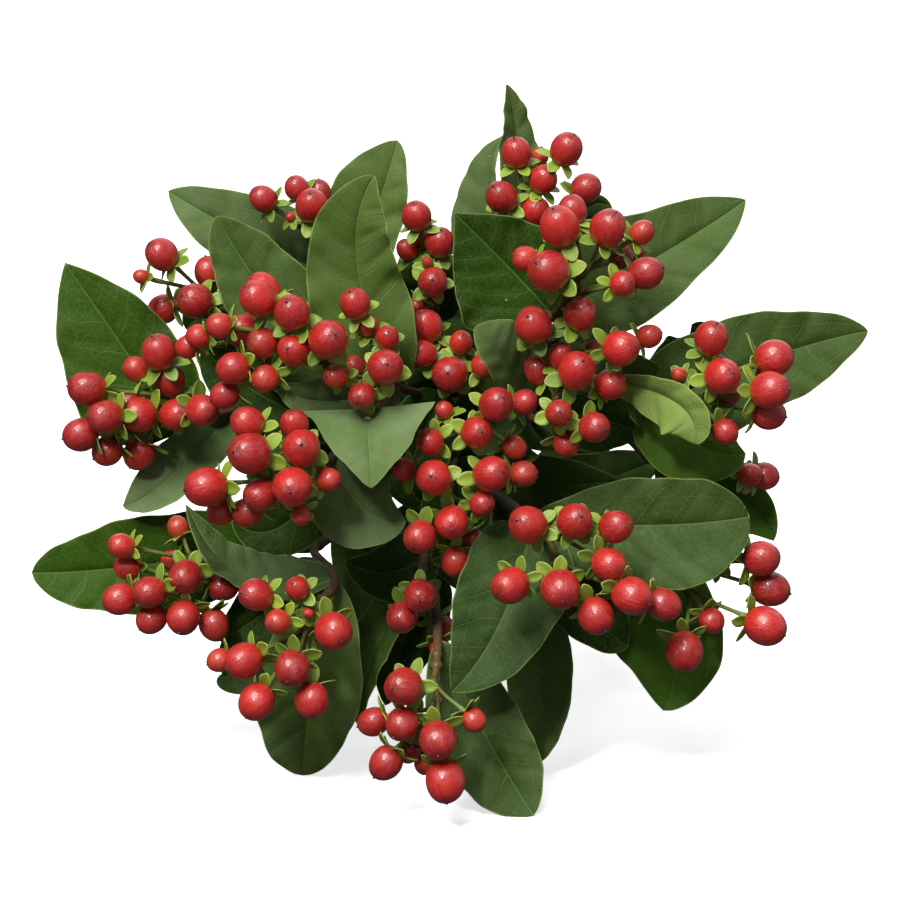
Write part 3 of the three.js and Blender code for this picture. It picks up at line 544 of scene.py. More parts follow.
def half_widths(blade, shares, across):
    """Half the width of a blade at shares of its length, on the side that each column lies on."""
    warped = shares ** blade["early"]
    swell = np.maximum(4 * warped * (1 - warped), 0) ** blade["point"]
    widest = np.where(across > 0, blade["left"], blade["right"])
    least = BLADE_BASE_HALF_WIDTH * (1 - shares)
    return np.maximum(swell[:, None] * widest, least[:, None])


def blade_axes(blade, shares):
    """The directions of the midrib at the shares, with the blade's side and normal there."""
    directions = curve_directions(blade["midrib"], shares)
    sides = spun(unit(np.cross([0, 0, 1.0], directions)), directions, radians(blade["roll"]))
    return directions, sides, np.cross(directions, sides)


def blade_grid(blade, shares, across):
    """The unbent blade: rows along the shares, columns from 1 at the left edge to -1 at the right."""
    directions, sides, normals = blade_axes(blade, shares)
    half = half_widths(blade, shares, across)[..., None]
    u = across[None, :, None]
    back = directions[:, None] * np.abs(u) * blade["lobe"] * ((1 - shares) ** 3)[:, None, None]
    reach = sides[:, None] * u * half * cos(BLADE_FOLD)
    rise = normals[:, None] * np.abs(u) * half * sin(BLADE_FOLD)
    return curve_points(blade["midrib"], shares)[:, None] + reach + rise - back


def control_rows(blade):
    rows = blade_grid(blade, np.array(blade["stations"]), np.array([1.0, 0, -1]))
    rows[-1] = rows[-1, 1]
    return rows


def sample_plan(count):
    """Corner numbers and weights of the points spread over each patch of a blade with count rows."""
    steps = [0.125, 0.375, 0.625, 0.875]
    corners, weights, fixed = [], [], []
    tip = (count - 1) * 3 + 1
    for k in range(count - 1):
        for half in (0, 1):
            patch = [k * 3 + half, k * 3 + half + 1, k * 3 + half + 3, k * 3 + half + 4]
            if k == count - 2:
                patch[2:] = [tip, tip]
            for a in steps:
                for b in steps:
                    corners.append(patch)
                    weights.append([(1 - a) * (1 - b), (1 - a) * b, a * (1 - b), a * b])
                    fixed.append(k == 0)
    return np.array(corners), np.array(weights), np.array(fixed)


def samples_of(flat, plan):
    corners, weights, _ = plan
    return np.sum(flat[corners] * weights[..., None], axis=1)


def sides_taken(points, balls, own_thing):
    """A blade passes wholly in front of or wholly behind each thing it meets: +1 or -1 for each ball."""
    gaps, leads = balls.gaps_and_leads(points)
    meets = gaps < balls.radii + BLADE_MARGIN
    sums = np.where(meets, leads, 0).sum(axis=0)
    met = meets.any(axis=0)
    sides = np.zeros(len(balls.radii))
    for thing in np.unique(balls.things):
        mine = balls.things == thing
        if thing == own_thing:
            sides[mine] = -1
        elif met[mine].any():
            sides[mine] = -1 if sums[mine].sum() < 0 else 1
    return sides


def bend_clear(rows, balls, own_thing):
    """Bends a blade forwards or backwards until it is clear of the things that stand in its way."""
    count = len(rows)
    plan = sample_plan(count)
    corners, weights, fixed = plan
    flat = rows.reshape(-1, 3)
    sides = sides_taken(samples_of(flat, plan), balls, own_thing)
    reaches = balls.radii + BLADE_MARGIN
    shares = weights * np.where(fixed[:, None] & (np.arange(4) < 2), 0, 1)
    tip = (count - 1) * 3
    for _ in range(CLEARING_PASSES):
        gaps, leads = balls.gaps_and_leads(samples_of(flat, plan))
        needed = sides * np.sqrt(np.maximum(reaches**2 - gaps**2, 0)) - leads
        needed = np.where((gaps < reaches) & (needed * sides > 0), needed, 0)
        worst = np.argmax(np.abs(needed), axis=1)
        moves = shares * needed[np.arange(len(worst)), worst][:, None]
        strongest = np.zeros(count * 3)
        for corner, move in zip(corners.ravel(), moves.ravel()):
            if abs(move) > abs(strongest[corner]):
                strongest[corner] = move
        strongest[tip:] = strongest[tip + 1]
        flat[:, 2] += strongest
    return flat.reshape(count, 3, 3)


def near_blade(rows, balls):
    plan = rows.reshape(-1, 3)[:, :2]
    flat = balls.centres[:, :2]
    inside = (flat >= plan.min(axis=0) - NEAR_DISTANCE) & (flat <= plan.max(axis=0) + NEAR_DISTANCE)
    past_base = norm(balls.centres - rows[0, 1], axis=1) > BASE_FREE_RADIUS
    return balls.chosen(inside.all(axis=1) & past_base)


def make_blade(stem, own, midrib, widths, stations, tone, more):
    base, via, tip = midrib
    left, right = widths
    return {
        "stem": stem,
        "own": own,
        "midrib": [base, via * 2 - (base + tip) / 2, tip],
        "left": left,
        "right": right,
        "stations": stations,
        "tone": tone,
        "early": BLADE_EARLY,
        "point": BLADE_POINT,
        "lobe": 0,
        "roll": 0,
        **more,
    }


def front_blade(stems, own, back, via, tip, left, right, tone, more):
    stem = next(stem for stem in stems if own in stem["branches"])
    branch = stem["branches"][own]
    base = curve_points(branch, max(1 - back / norm(branch[3] - branch[0]), 0))
    if "spur" in more:
        foot, base = base, place(*more["spur"])
        stem["spurs"].append((foot, base))
    midrib = base, place(*via), place(*tip)
    return make_blade(stem, own, midrib, (left, right), FRONT_STATIONS, tone, more)


def shade_blade(stems, name):
    row = (*SHADE_LEAVES[name], SHADE_HALF_WIDTH, SHADE_HALF_WIDTH, SHADE_TONE)
    return front_blade(stems, *row, NARROW_SHADE_LEAF.get(name, {}))


def lower_blade(stem, side):
    row = LOWER_LEAVES[stem["ring"]]
    base = curve_points(stem["rise"], row["at"])
    outward = turned(math.atan2(base[1], base[0]) + side * radians(row["spread"]))

    def reach(distance, angle):
        beside = base + outward * distance * sin(radians(angle))
        return beside + np.array([0, 0, distance * cos(radians(angle))])

    length, lean, half = row["length"], row["lean"], row["width"] / 2
    midrib = base, reach(length / 2, lean - LOWER_ARCH), reach(length, lean)
    return make_blade(stem, None, midrib, (half, half), LOWER_STATIONS, LOWER_TONE, {})


def grow_blades(blades, balls, thing_numbers, first=0):
    """Bends each blade in turn clear of the clusters and of the blades before it."""
    for number, blade in enumerate(blades, first):
        rows = control_rows(blade)
        bent = bend_clear(rows.copy(), near_blade(rows, balls), thing_numbers.get(blade["own"], -1))
        blade["lift"] = bent[..., 2] - rows[..., 2]
        samples = samples_of(bent.reshape(-1, 3), sample_plan(len(bent)))
        balls.add(samples, BLADE_BALL_RADIUS, FIRST_BLADE + number)


# ---- Inner berries ----


def hidden_share(centre, radius, balls):
    """How much of a berry lies behind the blades, seen from the front of the head."""
    spots = centre[:2] + SPOT_REACH * radius * np.stack(circle(SPOTS), axis=-1)
    ahead = balls.centres[balls.centres[:, 2] > centre[2], :2]
    gaps = norm(spots[:, None] - ahead, axis=2)
    return np.any(gaps < BLADE_BALL_RADIUS, axis=1).mean()


def seen_centre(row, front, solid, blade_balls):
    """The place nearest to a berry's own depth where it is clear of everything and can be seen."""
    x, y, diameter, drop = row
    for step in sorted(range(-INNER_SEEK, INNER_SEEK + 1), key=abs):
        centre = place(x, y, front - drop + step * BERRY_STEP)
        gaps = norm(solid.centres - centre, axis=1) - solid.radii
        if gaps.min() >= diameter / 2 + BERRY_GAP:
            if hidden_share(centre, diameter / 2, blade_balls) <= MOST_HIDDEN:
                return centre
    return sunk_centre(row, front, solid.centres, solid.radii)


def solid_balls(clusters, stems, blade_balls):
    """Balls that fill the stems, the branches, the clusters and the blades."""
    solid = Balls()
    for stem in stems:
        solid.add(curve_points(stem["rise"], np.linspace(0, 1, STEM_STEPS)), STEM_RADIUS, 0)
        for controls in stem["branches"].values():
            solid.add(curve_points(controls, np.linspace(0, 1, BRANCH_STEPS)), BRANCH_RADIUS, 0)
    for cluster in clusters.values():
        for berry in cluster["own"]:
            solid.add(berry["centre"], berry["radius"], 0)
        for start, end in cluster["lines"]:
            solid.add(straight_points(start, end, LINE_BALLS), BRANCHLET_RADIUS, 0)
    solid.add(blade_balls.centres, BLADE_CORE_RADIUS, 0)
    return solid


def add_inner_berries(clusters, stems, balls, numbers):
    blade_balls = balls.chosen(balls.things >= FIRST_BLADE)
    solid = solid_balls(clusters, stems, blade_balls)
    for name, rows in INNER_BERRIES.items():
        cluster = clusters[name]
        for row in rows:
            centre = seen_centre(row, CLUSTERS[name][0], solid, blade_balls)
            berry = {"cluster": name, "centre": centre, "radius": row[2] / 2}
            fork = min(cluster["forks"], key=lambda point: norm(point - centre))
            hang_berry(berry, fork, unit(fork - cluster["knot"]))
            cluster["own"].append(berry)
            solid.add(centre, row[2] / 2, 0)
            balls.add(centre, row[2] / 2, numbers[name])


# ---- Points and faces ----


def to_world(points):
    """Lays the bunch down on its slope, in metres."""
    x, y, z = np.moveaxis(np.asarray(points, float), -1, 0)
    high, flat = sin(SLOPE), cos(SLOPE)
    return np.stack([x, y * high - z * flat, y * flat + z * high], axis=-1) / 1000 + ORIGIN


def skin(rings, first=None, last=None):
    """Points and faces over closed rings of points, with a pole at either end."""
    count, sides = rings.shape[:2]
    points = [rings.reshape(-1, 3)]
    k = np.arange(count - 1)[:, None] * sides
    i = np.arange(sides)
    j = (i + 1) % sides
    faces = [np.stack([k + i, k + j, k + sides + j, k + sides + i], axis=-1).reshape(-1, 4)]
    total = count * sides
    if first is not None:
        faces.append(np.stack([np.full(sides, total), j, i], axis=-1))
        points.append(first[None])
        total += 1
    if last is not None:
        top = (count - 1) * sides
        faces.append(np.stack([np.full(sides, total), top + i, top + j], axis=-1))
        points.append(last[None])
    return np.concatenate(points), faces


def tube_rings(points, widths, sides):
    """Rings of points round a line, carried along it without a twist."""
    directions = unit(np.gradient(points, axis=0))
    side = cross_axes(directions[0])[0]
    rings = []
    for point, direction, radius in zip(points, directions, widths):
        side = unit(side - direction * (side @ direction))
        rings.append(point + radius * ring(side, np.cross(direction, side), sides))
    return np.array(rings)


def around_field(sides, heights, pole_heights):
    """The place round and along rings for all their points, and then for their two poles."""
    round_and_along = np.broadcast_arrays(*circle(sides), heights[:, None])
    poles = [[0, 0, height] for height in pole_heights]
    return np.vstack([np.stack(round_and_along, axis=-1).reshape(-1, 3), poles])


def tube_tone(redness, sides, chance=0.0):
    """The tone of all points of a tube and then of its two poles, where its redness runs along it."""
    red = np.concatenate([np.repeat(redness, sides), redness[[0, -1]]])
    return np.stack([np.full(len(red), chance), red, np.zeros(len(red))], axis=-1)


def shell_faces(rows, columns):
    """The faces of a closed shell over a grid: its upper side, its lower side and its rim."""
    grid = np.arange(rows * columns).reshape(rows, columns)
    upper = np.stack([grid[:-1, :-1], grid[:-1, 1:], grid[1:, 1:], grid[1:, :-1]], axis=-1).reshape(-1, 4)
    lower = upper[:, ::-1] + rows * columns
    loop = np.concatenate([grid[0, :-1], grid[:-1, -1], grid[-1, :0:-1], grid[:0:-1, 0]])
    after = np.roll(loop, -1)
    rim = np.stack([after, loop, loop + rows * columns, after + rows * columns], axis=-1)
    return [upper, lower, rim]


def grid_normals(grid):
    normals = np.cross(np.gradient(grid, axis=1), np.gradient(grid, axis=0))
    return normals / np.maximum(norm(normals, axis=-1, keepdims=True), 1e-9)


class Shape:
    """Gathers the points and faces of one piece, with what its materials read at each point."""

    def __init__(self):
        self.points = []
        self.faces = []
        self.fields = {}
        self.count = 0

    def add(self, points, faces, material, **fields):
        for name, values in fields.items():
            values = np.broadcast_to(np.asarray(values, float), (len(points), 3))
            self.fields.setdefault(name, []).append((self.count, values))
        self.faces += [(block + self.count, MATERIALS[material]) for block in faces]
        self.points.append(points)
        self.count += len(points)

    def add_faces(self, mesh):
        materials = list(dict.fromkeys(material for _, material in self.faces))
        for material in materials:
            mesh.materials.append(material)
        corners = np.concatenate([block.ravel() for block, _ in self.faces])
        sizes = np.concatenate([np.full(len(block), block.shape[1]) for block, _ in self.faces])
        indexes = [np.full(len(block), materials.index(material)) for block, material in self.faces]
        mesh.loops.add(len(corners))
        mesh.loops.foreach_set("vertex_index", corners.astype(np.int32))
        mesh.polygons.add(len(sizes))
        starts = np.cumsum(sizes) - sizes
        mesh.polygons.foreach_set("loop_start", starts.astype(np.int32))
        mesh.polygons.foreach_set("material_index", np.concatenate(indexes).astype(np.int32))
        mesh.polygons.foreach_set("use_smooth", np.ones(len(sizes), bool))

    def build(self, name, slot, *nodes):
        """Makes the piece, which rides on the bunch's one body and stands for the nodes."""
        mesh = bpy.data.meshes.new(name)
        world = to_world(np.concatenate(self.points))
        world[:, 2] = np.maximum(world[:, 2], 0)  # a leaf that touches the floor lies flat on it
        mesh.vertices.add(self.count)
        mesh.vertices.foreach_set("co", world.astype(np.float32).ravel())
        self.add_faces(mesh)
        for field, blocks in self.fields.items():
            values = np.zeros((self.count, 3), np.float32)
            for start, block in blocks:
                values[start : start + len(block)] = block
            mesh.attributes.new(field, "FLOAT_VECTOR", "POINT").data.foreach_set("vector", values.ravel())
        mesh.update(calc_edges=True)
        piece = bpy.data.objects.new(name, mesh)
        bpy.context.scene.collection.objects.link(piece)
        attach(piece, "root")
        if nodes:
            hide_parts(*nodes)


# ---- Materials ----


class Value:
    """A number or colour that nodes work out. Sums, products and the like make Math nodes."""

    def __init__(self, shading, socket):
        self.shading = shading
        self.socket = socket

    def math(self, operation, *others):
        return self.shading.node("Math", dict(enumerate([self, *others])), operation=operation)

    def __add__(self, other):
        return self.math("ADD", other)

    def __sub__(self, other):
        return self.math("SUBTRACT", other)

    def __mul__(self, other):
        return self.math("MULTIPLY", other)

    def __abs__(self):
        return self.math("ABSOLUTE")

    def ramp(self, start, end):
        """Rises smoothly from 0 to 1 as the value goes from start to end."""
        inputs = {"Value": self, "From Min": start, "From Max": end}
        return self.shading.node("MapRange", inputs, interpolation_type="SMOOTHSTEP")

    def line(self, half, soft):
        """1 where the value is under half, and 0 where it is over soft."""
        return self.shading.node("Math", {0: 1.0, 1: self.ramp(half, soft)}, operation="SUBTRACT")

    def scaled(self, low, high, top=1.0):
        """Goes from low to high as the value goes from 0 to top."""
        return self.shading.node("MapRange", {"Value": self, "From Max": top, "To Min": low, "To Max": high})

    def between(self, first, second):
        """The colour that lies this share of the way from the first to the second."""
        return self.shading.node("Mix", {0: self, 6: first, 7: second}, 2, data_type="RGBA")

    def toward(self, color, share):
        return share.between(self, color)


class Shading:
    """A material whose nodes are made by short calls. A colour is written as its red, green and blue."""

    def __init__(self, name):
        self.material = bpy.data.materials.new(name)
        self.material.use_nodes = True
        self.nodes = self.material.node_tree.nodes
        self.links = self.material.node_tree.links
        self.nodes.clear()
        output = self.nodes.new("ShaderNodeOutputMaterial")
        self.shader = self.nodes.new("ShaderNodeBsdfPrincipled")
        self.links.new(self.shader.outputs[0], output.inputs["Surface"])

    def put(self, socket, value):
        if isinstance(value, Value):
            self.links.new(value.socket, socket)
        elif isinstance(value, tuple):
            socket.default_value = (*value, 1)
        else:
            socket.default_value = value

    def surface(self, **values):
        for name, value in values.items():
            self.put(self.shader.inputs[name.replace("_", " ")], value)

    def node(self, kind, inputs, output=0, **settings):
        """Makes a node and gives one of its outputs."""
        node = self.nodes.new("ShaderNode" + kind)
        for name, value in settings.items():
            setattr(node, name, value)
        for name, value in inputs.items():
            self.put(node.inputs[name], value)
        return Value(self, node.outputs[output])

    def field(self, name):
        """The three numbers that the mesh carries under this name."""
        vector = self.node("Attribute", {}, "Vector", attribute_name=name)
        parts = self.node("SeparateXYZ", {0: vector}).socket.node
        return [Value(self, socket) for socket in parts.outputs]

    def position(self):
        """The place on the piece, in metres."""
        return self.node("TexCoord", {}, "Object")

    def vector(self, x, y, z):
        return self.node("CombineXYZ", {0: x, 1: y, 2: z})

    def noise(self, vector, scale, detail=2, roughness=0.5):
        inputs = {"Vector": vector, "Scale": scale, "Detail": detail, "Roughness": roughness}
        return self.node("TexNoise", inputs)

    def cells(self, vector, scale, feature="F1"):
        return self.node("TexVoronoi", {"Vector": vector, "Scale": scale}, "Distance", feature=feature)

    def bump(self, height, distance, strength):
        inputs = {"Height": height, "Distance": distance, "Strength": strength}
        self.put(self.shader.inputs["Normal"], self.node("Bump", inputs))


SUTURE_TURN = pi / 3
SCAR_HEIGHT = 1.5


def berry_material():
    shading = Shading("berry_skin")
    across, up, height = shading.field("around")
    chance, ripeness, number = shading.field("tone")
    lengthwise = shading.vector(across * 5.0, up * 5.0, height * 0.7 + number)
    streaks = shading.noise(lengthwise, 1.6, 4, 0.6)
    fine = shading.noise(lengthwise, 5.0, 4, 0.65).ramp(0.42, 0.72)
    mottling = shading.noise(shading.position(), 260, 3, 0.6)
    crimson = streaks.between((0.15, 0.003, 0.005), (0.34, 0.006, 0.008))
    scarlet = streaks.between((0.34, 0.006, 0.006), (0.57, 0.014, 0.012))
    ripe = chance.math("POWER", 0.7).between(crimson, scarlet)
    color = ripeness.between((0.62, 0.10, 0.018), ripe)
    color = color.toward((0.72, 0.085, 0.045), fine * 0.5)
    color = color.toward((0.66, 0.040, 0.022), mottling.ramp(0.5, 0.75) * 0.3)
    color = height.ramp(-0.85, -0.55).between((0.38, 0.05, 0.012), color)
    color = color.toward((0.14, 0.004, 0.005), height.ramp(1.02, 1.2) * 0.45)
    suture = up.math("ARCTAN2", across).math("PINGPONG", SUTURE_TURN).line(0.0, 0.09)
    suture = suture * height.ramp(0.2, 1.0)
    color = color.toward((0.13, 0.003, 0.004), suture * 0.35)
    color = color.toward((0.020, 0.009, 0.006), height.ramp(1.3, 1.4))
    shading.surface(Base_Color=color, Roughness=mottling.scaled(0.3, 0.46), Specular_IOR_Level=0.5)
    shading.surface(Coat_Weight=0.42, Coat_Roughness=0.15)
    shading.bump(streaks + mottling + fine * 0.3 - suture * 0.5, 0.00028, 0.5)
    return shading.material


def leaf_green(shading, flat, patches, marks, tone):
    """The colour of a leaf's upper side. Its lightness, from dark to light green, is partly the leaf's own
    and partly painted light and shade.
    """
    bloom, fresh, light = tone
    # The dark and the light green, mixed by the leaf's lightness: partly its own colour, partly painted
    # light and shade.
    dark_green_and_painted_shade = patches.between((0.009, 0.025, 0.001), (0.020, 0.048, 0.003))
    light_green_and_painted_light = patches.between((0.056, 0.098, 0.010), (0.086, 0.138, 0.022))
    green = light.between(dark_green_and_painted_shade, light_green_and_painted_light)
    green = green.toward((0.040, 0.125, 0.002), fresh.ramp(0.0, 0.6) * 0.6)
    green = green.toward((0.19, 0.27, 0.05), fresh.ramp(0.7, 1.0))
    mottle = shading.noise(flat, 0.9, 4, 0.65).ramp(0.45, 0.75)
    green = green.toward((0.14, 0.21, 0.075), mottle * 0.16)
    green = green.toward((0.145, 0.205, 0.095), bloom * patches.ramp(0.15, 0.7) * 0.85)
    return green.toward((0.15, 0.25, 0.06), marks * 0.3)


def leaf_material():
    shading = Shading("leaf_blade")
    loop, ladder, edge = shading.field("vein")
    across, along, upper = shading.field("blade")
    tone = shading.field("tone")
    bloom, fresh, light = tone
    flat = shading.vector(across, along, light * 40.0)
    wobble = shading.noise(flat, 0.12, 2)
    patches = shading.noise(flat, 0.06, 3)
    rung = (ladder + wobble * 0.5).math("PINGPONG", 0.5) * 8.0
    marks = abs(across).line(0.15, 0.55)
    for line in (
        abs(loop).line(0.05, 0.36) * 0.3,
        rung.line(0.03, 0.30) * 0.6,
        shading.cells(flat, 0.62, "DISTANCE_TO_EDGE").line(0.0, 0.11) * 0.22,
    ):
        marks = marks.math("MAXIMUM", line)
    under = fresh.between((0.110, 0.185, 0.085), (0.24, 0.36, 0.12))
    under = under.toward((0.30, 0.38, 0.17), marks * 0.6)
    color = upper.between(under, leaf_green(shading, flat, patches, marks, tone))
    speck = shading.cells(flat, 0.16).line(0.035, 0.075) * patches.ramp(0.5, 0.6)
    color = color.toward((0.36, 0.38, 0.22), speck * 0.6)
    rim = (edge + wobble * 0.2).line(0.28, 0.55)
    color = color.toward((0.30, 0.38, 0.10), rim * (fresh * 0.4 + 0.35))
    shine = (patches + bloom).scaled(0.44, 0.66, 1.6)
    shading.surface(Base_Color=color, Roughness=shine, Specular_IOR_Level=0.08)
    shading.bump(marks * -1.0 + shading.noise(flat, 2.6, 3) * 0.4, 0.0003, 0.6)
    return shading.material


def sepal_material():
    shading = Shading("sepal")
    across, along, edge = shading.field("blade")
    _, fresh, light = shading.field("tone")
    fibres = shading.noise(shading.vector(across * 2.2, along, light), 1.4, 3)
    green = fresh.between((0.055, 0.135, 0.008), (0.22, 0.33, 0.02))
    green = green.toward((0.32, 0.43, 0.06), fibres * 0.4)
    green = green.toward((0.29, 0.39, 0.045), along.ramp(2.2, 5.4) * (fresh * 0.6))
    green = green.toward((0.40, 0.46, 0.12), edge.line(0.10, 0.34) * 0.45)
    green = green.toward((0.36, 0.20, 0.07), along.ramp(5.6, 7.0) * (light * 0.5))
    shading.surface(Base_Color=green, Roughness=0.42, Specular_IOR_Level=0.4)
    shading.bump(fibres, 0.0003, 0.6)
    return shading.material


def stalk_material():
    shading = Shading("stalk")
    _, redness, _ = shading.field("tone")
    fibres = shading.noise(shading.position(), 420, 3)
    green = fibres.between((0.09, 0.16, 0.02), (0.20, 0.29, 0.05))
    red = fibres.between((0.050, 0.020, 0.008), (0.120, 0.055, 0.020))
    shading.surface(Base_Color=redness.between(green, red), Roughness=0.5, Specular_IOR_Level=0.4)
    shading.bump(fibres, 0.0003, 0.5)
    return shading.material


def wood_material():
    """Green where it is not red, brown elsewhere, and darker towards the head: painted shade where the stems
    run in among the leaves.
    """
    shading = Shading("stem_bark")
    across, up, along = shading.field("around")
    chance, redness, _ = shading.field("tone")
    lengthwise = shading.vector(across * 6.0, up * 6.0, along * 0.05 + chance * 30.0)
    fibres = shading.noise(lengthwise, 1.5, 5, 0.65)
    patches = shading.noise(lengthwise, 0.35, 3)
    green = fibres.between((0.060, 0.095, 0.018), (0.140, 0.180, 0.050))
    brown = fibres.between((0.062, 0.028, 0.012), (0.170, 0.085, 0.038))
    color = (redness + patches * 0.6).ramp(0.45, 1.05).between(green, brown)
    color = color.toward((0.30, 0.20, 0.11), shading.cells(lengthwise, 2.4).line(0.05, 0.16) * 0.4)
    # Painted shade: the wood darkens towards the head, where it runs in among the leaves and berries.
    color = color.toward((0.030, 0.018, 0.008), along.ramp(250.0, 330.0) * 0.8)
    shading.surface(Base_Color=color, Roughness=0.62, Specular_IOR_Level=0.35)
    shading.bump(fibres, 0.0006, 0.7)
    return shading.material


def cut_material():
    """Pale wood with a brown pith in the middle and a ring of bark outside."""
    shading = Shading("cut_wood")
    share, _, _ = shading.field("around")
    grain = shading.noise(shading.position(), 900, 3)
    wood = grain.between((0.50, 0.42, 0.24), (0.66, 0.60, 0.38))
    wood = wood.toward((0.30, 0.20, 0.10), share.line(0.16, 0.26))
    wood = wood.toward((0.16, 0.15, 0.05), share.ramp(0.84, 0.95))
    shading.surface(Base_Color=wood, Roughness=0.8, Specular_IOR_Level=0.3)
    shading.bump(grain, 0.0003, 0.7)
    return shading.material


def rubber_material():
    shading = Shading("band_rubber")
    grain = shading.noise(shading.position(), 700, 4, 0.6)
    tan = shading.noise(shading.position(), 90, 2).between((0.40, 0.24, 0.11), (0.52, 0.34, 0.17))
    tan = tan.toward((0.62, 0.46, 0.28), grain * 0.35)
    shading.surface(Base_Color=tan, Roughness=0.62, Specular_IOR_Level=0.4)
    shading.bump(grain, 0.0002, 0.6)
    return shading.material


def floor_material():
    shading = Shading("pale_floor")
    pale = shading.noise(shading.position(), 30, 3).between((0.90, 0.90, 0.90), (0.93, 0.93, 0.93))
    shading.surface(Base_Color=pale, Roughness=0.9, Specular_IOR_Level=0.1)
    shading.surface(Emission_Color=(1, 1, 1), Emission_Strength=0.6)
    return shading.material


# ---- Berries ----

# A berry's forms are in its own radius, and its heights run along its axis from its middle.
BELLY_HEIGHT = 0.06
BERRY_TOP_REACH = 1.16
BERRY_BASE_REACH = 1.03
STALK_TOP = -0.8
NUB_HEIGHTS = [0, 0.04, 0.09]
NUB_RADII = [0.065, 0.055, 0.03]
NUB_RINGS = len(NUB_RADII)
NUB_STAR = 0.35
POLE_RISE = 0.02
PUCKER = 0.05
PUCKER_START = 1.07
PUCKER_REACH = 0.15
BERRY_STRETCH = (0.97, 1.05)
BERRY_LOBE = (0.010, 0.026)


def berry_profile(stretch):
    """Heights and radii of a berry from its base to the nub at its tip, in its own radius."""
    turn = np.linspace(0.06, 0.97, BERRY_RINGS) * pi
    below = turn < pi / 2
    reach = np.where(below, BERRY_BASE_REACH, BERRY_TOP_REACH)
    heights = (BELLY_HEIGHT - reach * np.cos(turn)) * stretch
    radii = np.sin(turn) ** np.where(below, 0.92, 1.0)
    return np.append(heights, heights[-1] + np.array(NUB_HEIGHTS)), np.append(radii, NUB_RADII)


def berry_lumps(heights, lobe):
    """Three low lobes, an uneven side, puckers round the tip and a star-shaped nub."""
    angles = circle_angles(BERRY_SIDES)
    heights = heights[:, None]
    lobes = lobe * np.cos(3 * angles) + 0.008 * np.cos(5 * angles)
    uneven = 0.02 * np.cos(angles + 1) * np.sin(2.1 * heights + 0.6)
    puckers = PUCKER * np.cos(7 * angles) * np.clip((heights - PUCKER_START) / PUCKER_REACH, 0, 1)
    on_nub = np.arange(len(heights))[:, None] >= BERRY_RINGS
    return 1 + (lobes + uneven) + puckers + NUB_STAR * np.cos(3 * angles) * on_nub


def add_berry(shape, berry, rng):
    centre, axis, radius = berry["centre"], berry["axis"], berry["radius"]
    side, up = spun(np.array(cross_axes(axis)), axis, rng.uniform(0, 2 * pi))
    heights, radii = berry_profile(rng.uniform(*BERRY_STRETCH))
    spread = radii[:, None] * berry_lumps(heights, rng.uniform(*BERRY_LOBE)) * radius
    stations = centre + axis * (heights * radius)[:, None]
    rings = stations[:, None] + spread[..., None] * ring(side, up, BERRY_SIDES)
    bottom = centre + axis * (heights[0] - POLE_RISE) * radius
    top = centre + axis * (heights[-1] + POLE_RISE) * radius
    points, faces = skin(rings, bottom, top)
    heights[-NUB_RINGS:] = SCAR_HEIGHT
    around = around_field(BERRY_SIDES, heights, (heights[0], SCAR_HEIGHT))
    ripeness = min(1, 0.5 + radius / 8 + rng.uniform(-0.15, 0.1))
    tone = [rng.uniform(0, 1), ripeness, rng.uniform(0, 50)]
    shape.add(points, faces, "berry", around=around, tone=tone)


SEPALS = 5
SEPAL_THICKNESS = 0.4
SEPAL_RIM_THICKNESS = 0.16
SEPAL_CUP = 0.28
SEPAL_LIFT = (-8, 26)
SEPAL_OWN_LIFT = (-9, 9)
SEPAL_BEND = (-25, 20)
SEPAL_TURNS = (0, -14, 14, -28, 28, -45, -62, -80)
SEPAL_GAP = 0.3
FAR_GAP = 9.0


def sepal_grid(berry, angle, length, width, lift, bend):
    """A spoon that leaves the base of a berry at an angle round its axis and bends as it goes out."""
    axis, radius = berry["axis"], berry["radius"]
    side, up = cross_axes(axis)
    outward = side * cos(angle) + up * sin(angle)
    beside = np.cross(axis, outward)
    shares = 1 - np.linspace(1, 0, SEPAL_ROWS) ** 1.4
    slopes = lift + bend * shares
    steps = np.diff(shares) * length
    out = np.append(0, np.cumsum(np.cos(slopes[:-1]) * steps))
    high = np.append(0, np.cumsum(np.sin(slopes[:-1]) * steps))
    base = berry["centre"] + axis * STALK_TOP * radius + outward * 0.25 * radius
    middles = base + outward * out[:, None] + axis * high[:, None]
    rises = axis * np.cos(slopes)[:, None] - outward * np.sin(slopes)[:, None]
    half = width / 2 * np.sin(pi * (0.1 + 0.82 * shares**1.15)) ** 0.6 * np.sqrt(1 - 0.9 * shares**8)
    v = np.linspace(1, -1, SEPAL_COLUMNS)
    cup = SEPAL_CUP * half[:, None] * v**2
    grid = middles[:, None] - beside * (v * half[:, None])[..., None] + rises[:, None] * cup[..., None]
    return grid, half, v, shares * length


def sepal_clearance(grid, berry, balls):
    middle = grid[2:, 1:-1:2].reshape(-1, 3)
    centres, radii = balls
    others = norm(centres - berry["centre"], axis=1) > 0.1
    gaps = norm(middle[:, None] - centres[others], axis=2) - radii[others]
    own = norm(middle - berry["centre"], axis=1) - berry["radius"]
    return min(gaps.min(initial=FAR_GAP), own.min())


def clearest_sepal(berry, balls, angle, length, width, lift, bend):
    """The sepal at the first turn up or down that is clear of every berry, or at the best turn."""
    best_clearance = -math.inf
    for turn in SEPAL_TURNS:
        sepal = sepal_grid(berry, angle, length, width, lift + radians(turn), bend)
        clearance = sepal_clearance(sepal[0], berry, balls)
        if clearance > best_clearance + 0.05:
            best_clearance, best = clearance, sepal
        if clearance > SEPAL_GAP:
            break
    return best


